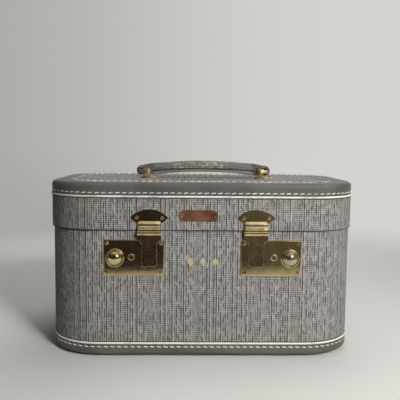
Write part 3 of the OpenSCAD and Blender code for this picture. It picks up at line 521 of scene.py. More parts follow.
@dataclass(frozen=True)
class Metal(Finish):
    """Polished or dull metal with tarnish clouds, spots and fine rubbing marks."""

    bright: Colour = (0.93, 0.86, 0.67)
    aged: Colour = (0.84, 0.74, 0.53)
    tarnish: Colour = (0.36, 0.25, 0.16)
    roughness: float = 0.065
    spotting: float = 0.22
    pebble: float = 0.0
    metallic: float = 1.0

    def write(self, g: Graph) -> bpy.types.Material:
        """Slow noise ages the lacquer, thresholds of finer noise give tarnish spots, and fine
        noise gives the rubbing marks.

        Args:
            g: the empty tree.
        Returns:
            The material.
        """
        cloud = g.noise(70, detail=4.0, rough=0.6)
        spot = g.noise(520, detail=3.0, rough=0.65).span(0.60, 0.72, 0.0, self.spotting)
        colour = g.mix(spot, g.mix(cloud.span(0.35, 0.7), self.bright, self.aged), self.tarnish)
        marks = g.noise(900, detail=2.0)
        rough = marks.span(0.3, 0.7, self.roughness * 0.7, self.roughness * 1.5) + spot * 0.25
        normal = g.bump(marks, 0.0016, under=g.bump(g.noise(75, detail=1.0), 0.022))
        if self.pebble > 0:
            normal = g.bump(g.noise(650, detail=1.0), self.pebble, under=normal)
        return g.finish(colour, Metallic=self.metallic, Roughness=rough, Normal=normal)


@dataclass(frozen=True)
class Ply(Finish):
    """Birch ply: long grain with a few darker rays."""

    base: Colour = (0.74, 0.66, 0.53)
    late: Colour = (0.58, 0.48, 0.36)
    ray: Colour = (0.45, 0.32, 0.19)

    def write(self, g: Graph) -> bpy.types.Material:
        """Noise drawn out along the width gives the grain.

        Args:
            g: the empty tree.
        Returns:
            The material.
        """
        grain = g.noise(420, g.mapped((0.05, 0.05, 1.0)), detail=4.0, bend=0.6)
        rays = g.noise(1500, g.mapped((0.1, 0.1, 1.0))).span(0.6, 0.7, 0.0, 0.5)
        colour = g.mix(rays, g.mix(grain.span(0.42, 0.68), self.base, self.late), self.ray)
        return g.finish(colour, Roughness=0.68, Normal=g.bump(grain, 0.12), Specular_IOR_Level=0.35)


@dataclass(frozen=True)
class Satin(Finish):
    """Satin-weave lining: fine diagonal weave with a soft sheen."""

    base: Colour = (0.73, 0.755, 0.775)
    low: Colour = (0.60, 0.63, 0.665)

    def write(self, g: Graph) -> bpy.types.Material:
        """Diagonal drawn-out noise gives the weave.

        Args:
            g: the empty tree.
        Returns:
            The material.
        """
        weave = g.noise(1900, g.mapped((1.0, 1.0, 0.25), turn=(0.0, 0.6, 0.3)), detail=1.0)
        level = weave * 0.6 + g.noise(30, detail=2.0) * 0.4
        return g.finish(g.mix(level.span(0.4, 0.6), self.low, self.base),
                        Roughness=weave.span(0.3, 0.7, 0.36, 0.52), Sheen_Weight=0.4, Sheen_Roughness=0.4,
                        Normal=g.bump(weave, 0.05, under=g.bump(g.noise(60, detail=2.0), 0.5)))


@dataclass(frozen=True)
class Board(Finish):
    """Cloth-covered board: a plain close weave with slubs."""

    base: Colour = (0.72, 0.73, 0.74)
    low: Colour = (0.58, 0.59, 0.61)

    def write(self, g: Graph) -> bpy.types.Material:
        """Two crossed sets of drawn-out noise give the weave.

        Args:
            g: the empty tree.
        Returns:
            The material.
        """
        warp, weft = (g.noise(1250, g.mapped(way), detail=1.0) for way in
                      ((1.0, 1.0, 0.22), (0.22, 0.22, 1.0)))
        cross = warp * 0.5 + weft * 0.5
        cloud = g.noise(22, detail=3.0).span(0.40, 0.70, 0.0, 0.08)
        colour = g.mix(cloud, g.mix(cross.span(0.40, 0.60), self.low, self.base), self.low)
        return g.finish(colour, Roughness=0.72, Normal=g.bump(cross, 0.12), Specular_IOR_Level=0.3)


@dataclass(frozen=True)
class Glass(Finish):
    """The silvered mirror, with faint haze and a few foxed spots."""

    silver: Colour = (0.93, 0.95, 0.95)
    foxed: Colour = (0.50, 0.46, 0.38)

    def write(self, g: Graph) -> bpy.types.Material:
        """Noise thresholds give the foxed spots.

        Args:
            g: the empty tree.
        Returns:
            The material.
        """
        fox = g.noise(95, detail=5.0, rough=0.65).span(0.66, 0.74, 0.0, 0.6)
        haze = g.noise(18, detail=3.0).span(0.4, 0.7, 0.01, 0.05)
        return g.finish(g.mix(fox, self.silver, self.foxed), Metallic=1.0, Roughness=haze + fox * 0.3)


FINISHES: dict[Slot, Finish] = {
    Slot.PLY: Ply("birch_ply"),
    # the heights of the painted shade lines: under the lid's edge, and beside the piping at both bindings
    Slot.TWEED: Tweed("tweed_wall", painted_shade_heights=(0.1436, 0.1797, 0.0171)),
    Slot.BINDING: Vinyl("grey_binding"),
    Slot.PIPING: Thread("ivory_piping"),
    Slot.LINING: Satin("satin_lining"),
    Slot.BRASS: Metal("aged_brass", spotting=0.30),
    Slot.RIVETS: Metal("rivet_brass", (0.76, 0.66, 0.48), (0.58, 0.46, 0.32), roughness=0.22, spotting=0.5),
    Slot.INNER: Metal("dull_brass", (0.86, 0.77, 0.57), (0.74, 0.62, 0.42), roughness=0.26, spotting=0.16),
    Slot.STEEL: Metal("bright_zinc", (0.78, 0.78, 0.76), (0.66, 0.66, 0.65), (0.40, 0.37, 0.33),
                      roughness=0.32, spotting=0.25),
    Slot.MIRROR: Glass("mirror_silver"),
    Slot.COPPER: Metal("antique_copper", (0.55, 0.38, 0.285), (0.40, 0.27, 0.205), (0.26, 0.15, 0.11),
                       roughness=0.36, spotting=0.75, pebble=0.16, metallic=0.55),
    Slot.PADDING: Board("felt_padding", (0.80, 0.76, 0.68), (0.68, 0.63, 0.55)),
    Slot.TRAY: Board("tray_cloth"),
    Slot.LEATHER: Vinyl("tab_leather", (0.46, 0.45, 0.44), (0.38, 0.37, 0.36), roughness=0.5),
}
KNOB_BRASS = Metal("knob_brass", (0.84, 0.80, 0.73), (0.77, 0.72, 0.63), roughness=0.20, spotting=0.12)
SATIN_BRASS = Metal("satin_brass", (0.95, 0.87, 0.68), (0.80, 0.66, 0.44), roughness=0.26, spotting=0.2)
STRIP_BRASS = Metal("strip_brass", (0.94, 0.87, 0.70), (0.84, 0.73, 0.52), roughness=0.28,
                    spotting=0.25, metallic=0.6)
FOLD_BRASS = Metal("fold_brass", (0.98, 0.92, 0.75), (0.92, 0.83, 0.62), roughness=0.10,
                   spotting=0.15, metallic=0.92)
STRAP_BRASS = Metal("strap_brass", (0.88, 0.75, 0.61), (0.76, 0.63, 0.50), (0.36, 0.26, 0.20),
                    roughness=0.15, spotting=0.22)
GOLD_FOIL = Metal("gold_foil", (0.76, 0.67, 0.50), (0.62, 0.53, 0.38), roughness=0.5, spotting=0.5,
                  metallic=0.35)
TOP_TWEED = Tweed("tweed_top", Warp.BACK)
GRIP_TWEED = Tweed("tweed_grip", Warp.ALONG, pale=(0.53, 0.515, 0.49), shade=(0.35, 0.34, 0.32),
                   dark=(0.14, 0.13, 0.12), rib=0.0021, worn=0.8)
BAND_VINYL = Vinyl("band_vinyl", (0.60, 0.59, 0.56), (0.52, 0.51, 0.485), (0.60, 0.58, 0.54))


def added(name: str, data: bpy.types.ID) -> bpy.types.Object:
    """A new object in the scene, at the origin.

    Args:
        name: the object's name.
        data: its mesh, lamp or camera.
    Returns:
        The object.
    """
    made = bpy.data.objects.new(name, data)
    bpy.context.scene.collection.objects.link(made)
    return made


def stacked(*parts: Array | float) -> Array:
    """Points from their coordinates: spreads the arrays to one shape and stacks them last."""
    return np.stack(np.broadcast_arrays(*parts), -1)


def circle(count: int) -> Array:
    """The angles of even steps round a circle."""
    return np.arange(count) * TAU / count


def on_circle(angle: Array) -> Array:
    """The points of a circle of radius 1 at some angles."""
    return stacked(np.cos(angle), np.sin(angle))


def grid_faces(rows: int, columns: int, wrap_rows: bool, wrap_columns: bool) -> Array:
    """Joins a grid of points into four-sided faces.

    Args:
        rows: points along the first parameter.
        columns: points along the second parameter.
        wrap_rows: joins the last row to the first.
        wrap_columns: joins the last column to the first.
    Returns:
        One row of four point numbers for each face.
    """
    i, j = np.meshgrid(np.arange(rows if wrap_rows else rows - 1),
                       np.arange(columns if wrap_columns else columns - 1), indexing="ij")
    nexti, nextj = (i + 1) % rows, (j + 1) % columns
    return stacked(i * columns + j, nexti * columns + j, nexti * columns + nextj,
                   i * columns + nextj).reshape(-1, 4)


def put_mesh(name: str, points: Array, faces: list[Array], smooth: bool = True) -> bpy.types.Object:
    """Makes an object from points and faces, merges what coincides and turns every face outward.

    Args:
        name: the piece's name.
        points: places in millimetres, one row each.
        faces: arrays of point numbers, each array with faces of one size.
        smooth: shades it smooth, except at sharp folds.
    Returns:
        The object, at the origin.
    """
    mesh = bpy.data.meshes.new(name)
    rows = [row for block in faces for row in block.tolist()]
    mesh.from_pydata((points.reshape(-1, 3) * MM).tolist(), [], rows)
    work = bmesh.new()
    work.from_mesh(mesh)
    bmesh.ops.remove_doubles(work, verts=work.verts, dist=MERGED)
    bmesh.ops.dissolve_degenerate(work, edges=work.edges, dist=MERGED / 10)
    bmesh.ops.recalc_face_normals(work, faces=work.faces)
    work.to_mesh(mesh)
    work.free()
    if smooth:
        mesh.shade_smooth()
        mesh.set_sharp_from_angle(angle=SHARP)
    return added(name, mesh)


def ended_tube(rings: Array) -> list[Array]:
    """Faces of a tube of closed rings whose two ends are closed by one face each.

    Args:
        rings: points by ring and place on it.
    Returns:
        The side's faces, and the two ends.
    """
    rows, columns = rings.shape[:2]
    first = np.arange(columns)[None, :]
    return [grid_faces(rows, columns, False, True), first[:, ::-1], first + (rows - 1) * columns]


def repeated(blocks: list[Array], size: int, count: int) -> list[Array]:
    """Faces of a count of like parts, from the first part's faces and its number of points."""
    shift = (np.arange(count) * size)[:, None, None]
    return [(block + shift).reshape(-1, block.shape[1]) for block in blocks]


def stitch_radius(steps: Array, thick: float) -> Array:
    """A stitch's radius at steps t from -1 to 1, with the square root of 1 less t squared."""
    return thick / 2 * np.sqrt(np.maximum(1 - steps ** 2, 0.0) * 0.9 + 0.1)


def signed_power(value: Array, power: float) -> Array:
    """Raises the size of a value to a power and keeps its sign."""
    return np.sign(value) * np.abs(value) ** power


def ease(value: Array, low: float, high: float) -> Array:
    """Goes smoothly from 0 at low to 1 at high: 3 t squared less 2 t cubed."""
    t = np.clip((value - low) / (high - low), 0.0, 1.0)
    return t * t * (3 - 2 * t)


@dataclass(frozen=True)
class Outline:
    """A rectangle with round corners, seen in plan."""

    width: float
    depth: float
    radius: float
    mid: tuple[float, float] = (0.0, 0.625)

    @property
    def length(self) -> float:
        """The way round it."""
        return 2 * (self.width + self.depth - 4 * self.radius) + TAU * self.radius

    @property
    def front(self) -> float:
        """Where its front face stands."""
        return self.mid[1] - self.depth / 2

    def inset(self, by: float) -> "Outline":
        """The outline that runs so far inside it."""
        return Outline(self.width - 2 * by, self.depth - 2 * by, self.radius - by, self.mid)

    def at(self, way: Array) -> tuple[Array, Array]:
        """Places and outward directions along the way round, from the middle of the front.

        A straight run goes along its heading. On a corner the heading turns by way over radius,
        and the place moves by the radius times the change of its sine and cosine.

        Args:
            way: distances along the outline in millimetres.
        Returns:
            Two arrays of x and y, one row for each distance.
        """
        w, d, r = self.width / 2, self.depth / 2, self.radius
        across, back, bend = self.width - 2 * r, self.depth - 2 * r, r * TAU / 4
        runs = np.array([across / 2, bend, back, bend, across, bend, back, bend, across / 2])
        starts = np.concatenate([[0.0], np.cumsum(runs)])
        turn, curved = np.arange(9) // 2 * TAU / 4, np.arange(9) % 2
        begin = np.array([(0, -d), (w - r, -d), (w, r - d), (w, d - r), (w - r, d), (r - w, d),
                          (-w, d - r), (-w, r - d), (r - w, -d)])
        s = np.mod(way, starts[-1])
        k = np.clip(np.searchsorted(starts, s, side="right") - 1, 0, 8)
        t = s - starts[k]
        head = turn[k] + curved[k] * t / r
        straight = on_circle(head) * t[..., None]
        bent = r * stacked(np.sin(head) - np.sin(turn[k]), np.cos(turn[k]) - np.cos(head))
        place = begin[k] + np.where(curved[k][..., None] > 0, bent, straight) + np.array(self.mid)
        return place, stacked(np.sin(head), -np.cos(head))

    def carry(self, sections: Array) -> Array:
        """Carries sections round the outline.

        Args:
            sections: how far out and how high each point is, by place and section point.
        Returns:
            Points by place and section point.
        """
        count = len(sections)
        place, out = self.at(np.arange(count) * self.length / count)
        plan = place[:, None] + out[:, None] * sections[..., :1]
        return np.concatenate([plan, sections[..., 1:]], axis=-1)


LID = Outline(354.0, 218.0, 62.0)
BODY = Outline(350.0, 214.0, 60.0)


def arc(mid: tuple[float, float], radius: float, start: float, end: float, count: int) -> Array:
    """Points on an arc, with angles in degrees."""
    return np.array(mid) + radius * on_circle(np.radians(np.linspace(start, end, count)))


def even_path(points: Array, step: float, closed: bool = False) -> Array:
    """Places the points of a path again at even steps, by length along it.

    Args:
        points: the path's corners.
        step: the distance wanted between points.
        closed: joins the last point to the first.
    Returns:
        The new points.
    """
    path = np.vstack([points, points[:1]]) if closed else points
    along = np.concatenate([[0.0], np.cumsum(np.linalg.norm(np.diff(path, axis=0), axis=1))])
    count = max(2, int(round(along[-1] / step)) + (0 if closed else 1))
    wanted = np.linspace(0.0, along[-1], count, endpoint=not closed)
    return stacked(*[np.interp(wanted, along, column) for column in path.T])


def eased_copy(node: str, name: str, body: Body | str, slot: Slot, edge: float, segments: int = 2,
               clamp: bool = True, own: Finish | None = None) -> bpy.types.Object:
    """Copies a CAD node, merges its loose triangles and eases its sharp edges.

    Args:
        node: the CAD node, which the copy then replaces.
        name: the new piece's name.
        body: the body that it rides on.
        slot: its material slot.
        edge: the width of the eased edges.
        segments: how many faces cross an eased edge.
        clamp: keeps the eased edges from crossing on short edges, by making them narrower.
        own: a finish in place of the slot's.
    Returns:
        The new piece.
    """
    made = added(name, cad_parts[node].data.copy())
    work = bmesh.new()
    work.from_mesh(made.data)
    bmesh.ops.remove_doubles(work, verts=work.verts, dist=2 * MERGED)
    bmesh.ops.dissolve_limit(work, angle_limit=LEVEL, verts=work.verts, edges=work.edges)
    for sharp in work.edges:
        sharp.smooth = True
    work.to_mesh(made.data)
    work.free()
    for layer in ("custom_normal", "sharp_edge", "sharp_face"):
        if layer in made.data.attributes:
            made.data.attributes.remove(made.data.attributes[layer])
    made.data.shade_smooth()
    bevel = made.modifiers.new("eased", "BEVEL")
    bevel.width = edge * MM
    bevel.segments = segments
    bevel.use_clamp_overlap = clamp
    bevel.limit_method = "ANGLE"
    bevel.angle_limit = EASED
    made.modifiers.new("flat_faces", "WEIGHTED_NORMAL").weight = 100
    return settle(made, body, slot, own, (node,))


def settle(piece: bpy.types.Object, body: Body | str, slot: Slot,
           own: Finish | None = None, nodes: tuple[str, ...] = ()) -> bpy.types.Object:
    """Puts a new piece on its body, in place of CAD nodes, and gives it its finish.

    Args:
        piece: the new piece.
        body: the body that it rides on.
        slot: its material slot.
        own: a finish in place of the slot's.
        nodes: the CAD nodes that it replaces.
    Returns:
        The piece.
    """
    piece.data.materials.clear()
    piece.data.materials.append((own or FINISHES[slot]).material())
    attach(piece, body.value if isinstance(body, Body) else body)
    if nodes:
        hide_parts(*nodes)
    LOG.info("%s in %s", piece.name, slot.value)
    return piece


def dress(node: str, finish: Finish) -> None:
    """Gives a CAD node a better material."""
    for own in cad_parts[node].material_slots:
        own.material = finish.material()


def dress_part(piece: bpy.types.Object, chosen: Array, own: Finish) -> None:
    """Gives the chosen faces of a piece a second finish."""
    piece.data.materials.append(own.material())
    piece.data.polygons.foreach_set("material_index", chosen.astype(np.int32))


def places(items: bpy.types.bpy_prop_collection, key: str) -> Array:
    """Reads where a mesh's parts are.

    Args:
        items: the mesh's vertices or faces.
        key: what is read, "co" of vertices and "center" of faces.
    Returns:
        Their places in millimetres, one row each.
    """
    flat = np.empty(len(items) * 3)
    items.foreach_get(key, flat)
    return flat.reshape(-1, 3) / MM


def dress_nodes() -> None:
    """Gives every CAD node the finish of its slot, and the top cloth its own thread direction."""
    for name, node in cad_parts.items():
        own = node.material_slots[0].material.name.split(".")[0]
        dress(name, FINISHES[Slot(own)])
    dress("lid_cover_top", TOP_TWEED)
    LOG.info("dressed %d CAD nodes", len(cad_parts))


@dataclass
class StitchRow:
    """A row of thread stitches round an outline."""

    outline: Outline
    out: float
    up: float
    facing: Colour = (1.0, 0.0, 0.0)
    count: int = 138
    long: float = 5.5
    thick: float = 1.1
    proud: float = 0.36
    sunk: float = 0.22
    slant: float = 0.12

    def points(self) -> tuple[Array, list[Array]]:
        """Every stitch at once.

        A stitch is a tube: along t from -1 to 1 its middle line rises from under the binding to
        its crown and back, by the proud height times 1 less t to the fourth.

        Returns:
            The points and the faces.
        """
        angle, steps = circle(6), np.array([-1.0, -0.86, -0.45, 0.0, 0.45, 0.86, 1.0])
        radius = stitch_radius(steps, self.thick)
        rise = self.proud * (1 - steps ** 4) - self.sunk
        run = (steps * self.long / 2)[:, None]
        away = rise[:, None] + radius[:, None] * np.sin(angle)
        side = radius[:, None] * np.cos(angle) + self.slant * run
        way = (np.arange(self.count) + 0.5) * self.outline.length / self.count
        place, out = self.outline.at(way)
        x, y = out.T
        tangent, outward, upward = stacked(-y, x, 0.0), stacked(x, y, 0.0), np.array([0.0, 0.0, 1.0])
        face = self.facing[0] * outward + self.facing[2] * upward
        cross = self.facing[0] * upward - self.facing[2] * outward
        foot = stacked(*(place + out * self.out).T, self.up)
        points = (foot[:, None, None] + tangent[:, None, None] * run[..., None]
                  + face[:, None, None] * away[..., None] + cross[:, None, None] * side[..., None])
        return points, repeated(ended_tube(side), side.size, self.count)

    def build(self, name: str, body: Body) -> None:
        """Makes the row's piece."""
        settle(put_mesh(name, *self.points()), body, Slot.PIPING)


@dataclass
class EdgeBinding:
    """The bound edges: a side, a rounded fold and a return, drawn in where the stitches hold it."""

    thickness: float = 1.2
    proud: float = 0.2
    band_return: float = 22.0
    top_z: float = 196.5
    top_band: float = 14.4
    top_edge: float = 5.0
    foot_z: float = 2.0
    foot_band: float = 12.8
    foot_edge: float = 4.0
    lip: float = 0.45
    stitches: int = 138
    row_in: float = 3.1
    top_stitches: int = 112
    top_long: float = 5.6
    top_row_in: float = 23.7
    dent: float = 0.09
    dent_more: float = 0.10
    dent_r: float = 1.25

    def section(self, band: float, edge: float) -> Array:
        """The closed section with its fold at the origin: x out from the wall, y into the part.

        Args:
            band: how far the side reaches from the fold.
            edge: the radius of the fold.
        Returns:
            Rows of how far out and how far from the outer face.
        """
        lip, reach = self.lip, self.band_return + edge
        return even_path(np.vstack([
            [[self.proud - self.thickness, band]],
            arc((self.proud - lip, band - lip), lip, 90, 0, 4),
            arc((self.proud - edge, edge), edge, 0, -90, 14),
            arc((self.proud - reach + lip, lip), lip, -90, -180, 4),
            [[self.proud - reach, self.thickness]],
            arc((self.proud - edge, edge), edge - self.thickness, -90, 0, 7),
        ]), 1.1, closed=True)

    def pulled(self, section: Array, count: int, rows: list[Array]) -> Array:
        """How the stitches draw the binding in.

        Near a row the surface sinks by a bell over the distance from it, deepest where the
        thread goes down between two stitches, by the cosine of the way along the row.

        Args:
            section: the section's points.
            count: places round the outline.
            rows: where each row crosses the section.
        Returns:
            The push of each point, out and up in the section.
        """
        way = np.arange(count) / count * self.stitches * TAU
        deep = self.dent + self.dent_more * (1 + np.cos(way)) / 2
        push = np.zeros((count,) + section.shape)
        for row in rows:
            bell = np.exp(-(np.linalg.norm(section - row, axis=1) / self.dent_r) ** 2)
            inward = np.array([-1.0, 0.0] if row[1] > 0 else [0.0, 1.0])
            push += deep[:, None, None] * bell[None, :, None] * inward
        return push

    def band(self, name: str, node: str, outline: Outline, body: Body, at_top: bool) -> None:
        """Builds one binding, with its stitch rows' dents, in place of its CAD node.

        Args:
            name: the piece's name.
            node: the CAD node.
            outline: the face that it is wrapped round.
            body: the body that it rides on.
            at_top: turns the section over for the lid.
        """
        band, edge = (self.top_band, self.top_edge) if at_top else (self.foot_band, self.foot_edge)
        flat = self.section(band, edge)
        rows = [np.array([self.proud, band - self.row_in])]
        if at_top:
            rows.append(np.array([self.proud - self.band_return - edge + self.row_in, 0.0]))
        count = self.stitches * 6
        full = flat + self.pulled(flat, count, rows)
        z = self.top_z - full[..., 1] if at_top else self.foot_z + full[..., 1]
        points = outline.carry(stacked(full[..., 0], z))
        settle(put_mesh(name, points, [grid_faces(count, len(flat), True, True)]), body, Slot.BINDING,
               nodes=(node,))

    def build(self) -> None:
        """Builds both bindings and the three stitch rows."""
        self.band("lid_edge_binding", "top_binding", LID, Body.LID, True)
        self.band("foot_edge_binding", "bottom_binding", BODY, Body.CASE, False)
        StitchRow(LID, self.proud, self.top_z - self.top_band + self.row_in,
                  count=self.stitches).build("stitches_lid_side", Body.LID)
        StitchRow(BODY, self.proud, self.foot_z + self.foot_band - self.row_in,
                  count=self.stitches, slant=-0.12).build("stitches_foot_side", Body.CASE)
        StitchRow(LID.inset(self.top_row_in), 0.0, self.top_z, facing=(0.0, 0.0, 1.0),
                  count=self.top_stitches, long=self.top_long).build("stitches_lid_top", Body.LID)
        LOG.info("edge binding: 2 bands and 3 stitch rows")


@dataclass
class Handle:
    """The low padded handle: a crowned tweed cover, a smooth band under it and two end loops."""

    mid_x: float = HANDLE_MID[0]
    mid_y: float = HANDLE_MID[1]
    under_z: float = 204.1
    arch: float = 489.7
    height: float = 14.0
    seam: float = 5.4
    groove: float = 2.2
    half_wide: float = 12.0
    reach: float = 70.4
    shoulder: float = 65.0
    loop_half: float = 10.0
    loop_tip: float = 77.73
    loop_mid_z: float = 206.0
    loop_r: float = 6.3
    slot: tuple[float, float, float, float] = (69.81, 80.63, 203.2, 207.32)
    band_reach: float = 66.2
    band_shoulder: float = 61.0
    band_in: float = 1.5
    bag: float = 1.6
    cover_power: float = 0.80
    band_power: float = 0.72
    loop_power: float = 0.55
    narrowed: float = 0.17
    swelled: float = 0.05
    arch_half: float = 65.5
    narrow_from: float = 40.0
    swell: tuple[float, float] = (45.0, 64.0)
    gather: tuple[float, float] = (50.0, 66.0)
    cover_close: float = 2.6
    band_close: float = 3.0
    closed: float = 0.0004
    soft_long: float = 9.0
    band_narrowed: float = 0.13
    band_narrow: tuple[float, float] = (40.0, 66.0)
    loop_steps: int = 72
    folds: int = 13
    fold_deep: float = 0.30
    soft_deep: float = 0.18
    loop_crown: float = 0.75

    def under(self, x: Array) -> Array:
        """Height of the arch's underside: the middle less the drop of a circle."""
        return self.under_z - (self.arch - np.sqrt(self.arch ** 2 - x ** 2))

    def along(self, tip: float, count: int) -> Array:
        """Places along the grip, closer together at the ends."""
        t = np.linspace(-1, 1, count)
        return tip * 0.5 * (np.sin(t * TAU / 4) + t)

    def tube(self, name: str, x: Array, y: Array, z: Array) -> bpy.types.Object:
        """A closed tube from its rings: one x for each, and rows of y and z round it."""
        rings = stacked(x[:, None] + self.mid_x, y + self.mid_y, z)
        return put_mesh(name, rings, ended_tube(rings))

    def cover(self) -> None:
        """The padded cover.

        Its section is a super-ellipse above the seam: half the width times cosine to the cover's
        power, and the height times sine to the same power, with its lower edge rolled in under
        it. Past the shoulders the section closes as the square root of 1 less the way left to
        the 2.6, and small folds gather there.
        """
        x = self.along(self.reach, 121)
        t = np.linspace(0.0, math.pi, 41)
        wide = signed_power(np.cos(t), self.cover_power)
        high = np.abs(np.sin(t)) ** self.cover_power
        far = np.clip((np.abs(x) - self.shoulder) / (self.reach - self.shoulder), 0, 1)
        close = np.sqrt(np.maximum(1 - far ** self.cover_close, self.closed))
        under = self.under(np.clip(x, -self.arch_half, self.arch_half)) + self.seam
        half = self.half_wide * (1 - self.narrowed * ease(np.abs(x), self.narrow_from, self.reach))
        rise = (self.height - self.seam) * (1 + self.swelled * ease(np.abs(x), *self.swell))
        fold = self.fold_deep * ease(np.abs(x), *self.gather)[:, None] * np.cos(self.folds * t)[None]
        y = (half * close)[:, None] * wide + fold * wide * close[:, None]
        lift = (self.bag * (1 - close))[:, None]
        z = under[:, None] + (rise * close)[:, None] * high + fold * high * close[:, None] + lift
        soft = self.soft_deep * np.sin(x / self.soft_long + 0.7)[:, None] * np.sin(2 * t + 0.4)[None]
        z = z + soft * close[:, None]
        edge_y = y[:, [-1]] * np.array([0.985, 0.93, 0.84])
        edge_z = under[:, None] + np.array([-0.45, -0.60, -0.10]) * close[:, None] + lift
        ring_y = np.concatenate([y, edge_y, -edge_y[:, ::-1]], axis=1)
        ring_z = np.concatenate([z, edge_z, edge_z[:, ::-1]], axis=1)
        made = self.tube("grip_cover", x, ring_y, ring_z)
        settle(made, Body.HANDLE, Slot.TWEED, GRIP_TWEED, ("handle_cover", "handle_pad"))

    def band(self) -> None:
        """The smooth band under the grip: the lower half of a super-ellipse, closed above inside
        the cover, with ends that round off."""
        x = self.along(self.band_reach, 95)
        t = np.linspace(math.pi, TAU, 33)
        wide, low = signed_power(np.cos(t), self.band_power), np.abs(np.sin(t)) ** self.band_power
        far = np.clip((np.abs(x) - self.band_shoulder) / (self.band_reach - self.band_shoulder), 0, 1)
        close = np.sqrt(np.maximum(1 - far ** self.band_close, self.closed))
        under = self.under(x)
        narrow = 1 - self.band_narrowed * ease(np.abs(x), *self.band_narrow)
        half = (self.half_wide - self.band_in) * narrow
        y = (half * (0.7 + 0.3 * close))[:, None] * wide
        rim = self.seam - self.groove
        z = (under + rim)[:, None] - (rim * close)[:, None] * low
        top_y = half[:, None] * np.array([0.66, 0.60, -0.60, -0.66]) * (0.7 + 0.3 * close)[:, None]
        top_z = (under + rim)[:, None] + np.array([0.15, 1.6, 1.6, 0.15])
        ring_y = np.concatenate([y, top_y], axis=1)
        made = self.tube("grip_band", x, ring_y, np.concatenate([z, top_z], axis=1))
        settle(made, Body.HANDLE, Slot.BINDING, BAND_VINYL, ("handle_band",))

    def loops(self) -> None:
        """The end loops: a ring round each slot.

        The ring's outer and inner outlines are cut into the same number of steps. Between each
        pair of points lies a super-ellipse, half the strap's width across.
        """
        lo, hi, z0, z1 = self.slot
        arch_x = np.linspace(61.5, 75.5, 8)
        crown = self.loop_crown * np.sin(np.linspace(0.15, 1.0, 8) * math.pi)
        arch_top = self.under(arch_x) + self.height + crown
        outer = np.vstack([
            [[61.5, 201.6]],
            stacked(arch_x, arch_top),
            arc((self.loop_tip, self.loop_mid_z - 0.05), self.loop_r, 82, -90, 18),
            [[74.0, 200.6], [70.0, 201.9]],
        ])
        slot_r = (z1 - z0) / 2
        inner = np.vstack([
            arc((lo + slot_r, z0 + slot_r), slot_r, 180, 90, 7),
            arc((hi - slot_r, z0 + slot_r), slot_r, 90, -90, 13),
            arc((lo + slot_r, z0 + slot_r), slot_r, -90, -175, 7),
        ])
        count = self.loop_steps
        round_it = np.linalg.norm(np.diff(np.vstack([outer, outer[:1]]), axis=0), axis=1).sum()
        outer = even_path(outer, round_it / count, closed=True)[:count]
        middle = np.array([(lo + hi) / 2 - 2.0, z0 + slot_r])
        bearing = np.arctan2(outer[:, 1] - middle[1], outer[:, 0] - middle[0])
        dense = even_path(inner, 0.05, closed=True)
        facing = np.arctan2(dense[:, 1] - middle[1], dense[:, 0] - middle[0])
        nearest = np.argmin(np.abs(np.angle(np.exp(1j * (bearing[:, None] - facing[None])))), axis=1)
        inside = dense[nearest]
        v = circle(20)
        across, over = (signed_power(wave(v), self.loop_power) for wave in (np.sin, np.cos))
        mid, half = (outer + inside) / 2, (outer - inside) / 2
        plane = mid[:, None] + half[:, None] * over[None, :, None]
        for side in Side:
            rings = stacked(self.mid_x + side.value * plane[..., 0], self.mid_y + self.loop_half * across,
                            plane[..., 1])
            made = put_mesh(f"grip_loop_{side.label}", rings,
                            [grid_faces(len(outer), len(v), True, True)])
            settle(made, Body.HANDLE, Slot.TWEED, GRIP_TWEED,
                   ("handle_loops",) if side is Side.LEFT else ())

    def build(self) -> None:
        """Builds the handle's soft pieces."""
        self.cover()
        self.band()
        self.loops()
        LOG.info("handle: cover, band and 2 loops")


@dataclass
class Knob:
    """A sliding knob, turned round its own middle: a rolled flange, a groove, a ring and a dome."""

    mid_x: float = 97.0
    mid_z: float = 113.1
    face_y: float = -108.675
    flange_r: float = 10.4
    flange_t: float = 1.8
    bead: tuple[float, float] = (0.85, 0.95)
    dome_r: float = 8.3
    dome_h: float = 6.7
    dome_foot: float = 2.3
    stem_r: float = 2.2
    stem_len: float = 2.65

    def profile(self) -> Array:
        """The half section of the turned shape.

        Returns:
            Rows of distance from the middle and height off the plate.
        """
        cap = np.sin(np.linspace(1.0, 0.0, 26) * TAU / 4)
        rise = (self.dome_h - self.dome_foot) * (1 - cap ** 2) ** 0.62
        dome = stacked((self.dome_r - 0.55) * cap, self.dome_foot + rise)
        roll, wide, high = np.radians(np.linspace(-50, 165, 18)), *self.bead
        bead = stacked(np.cos(roll) * wide + self.flange_r - wide,
                       np.sin(roll) * high + self.flange_t - high)
        return np.vstack([
            [[0.0, -self.stem_len], [self.stem_r, -self.stem_len], [self.stem_r, 0.0]],
            [[self.flange_r - 1.2, 0.0]],
            bead,
            [[self.dome_r + 0.20, 0.70], [self.dome_r + 0.02, 0.85]],
            arc((self.dome_r - 0.40, 1.85), 0.42, -20, 120, 10),
            dome,
        ])

    def build(self, side: Side) -> None:
        """Turns the profile round the knob's middle: x as cosine and z as sine of the angle. The
        right dome is worn grey, and the rest keeps the plates' brass.

        Args:
            side: the lock that it belongs to.
        """
        rows, angle = self.profile(), circle(72)[:, None]
        middle = side.value * self.mid_x
        points = stacked(rows[:, 0] * np.cos(angle) + middle, self.face_y - rows[:, 1],
                         rows[:, 0] * np.sin(angle) + self.mid_z)
        made = put_mesh(f"turned_knob_{side.label}", points, [grid_faces(72, len(rows), True, False)])
        settle(made, f"knob_{side.label}", Slot.BRASS, nodes=(f"knob_{side.label}",))
        if side is Side.RIGHT:
            x, y, z = places(made.data.polygons, "center").T
            near = np.hypot(x - middle, z - self.mid_z) < self.dome_r - 0.5
            dress_part(made, near & (y < self.face_y - 2), KNOB_BRASS)


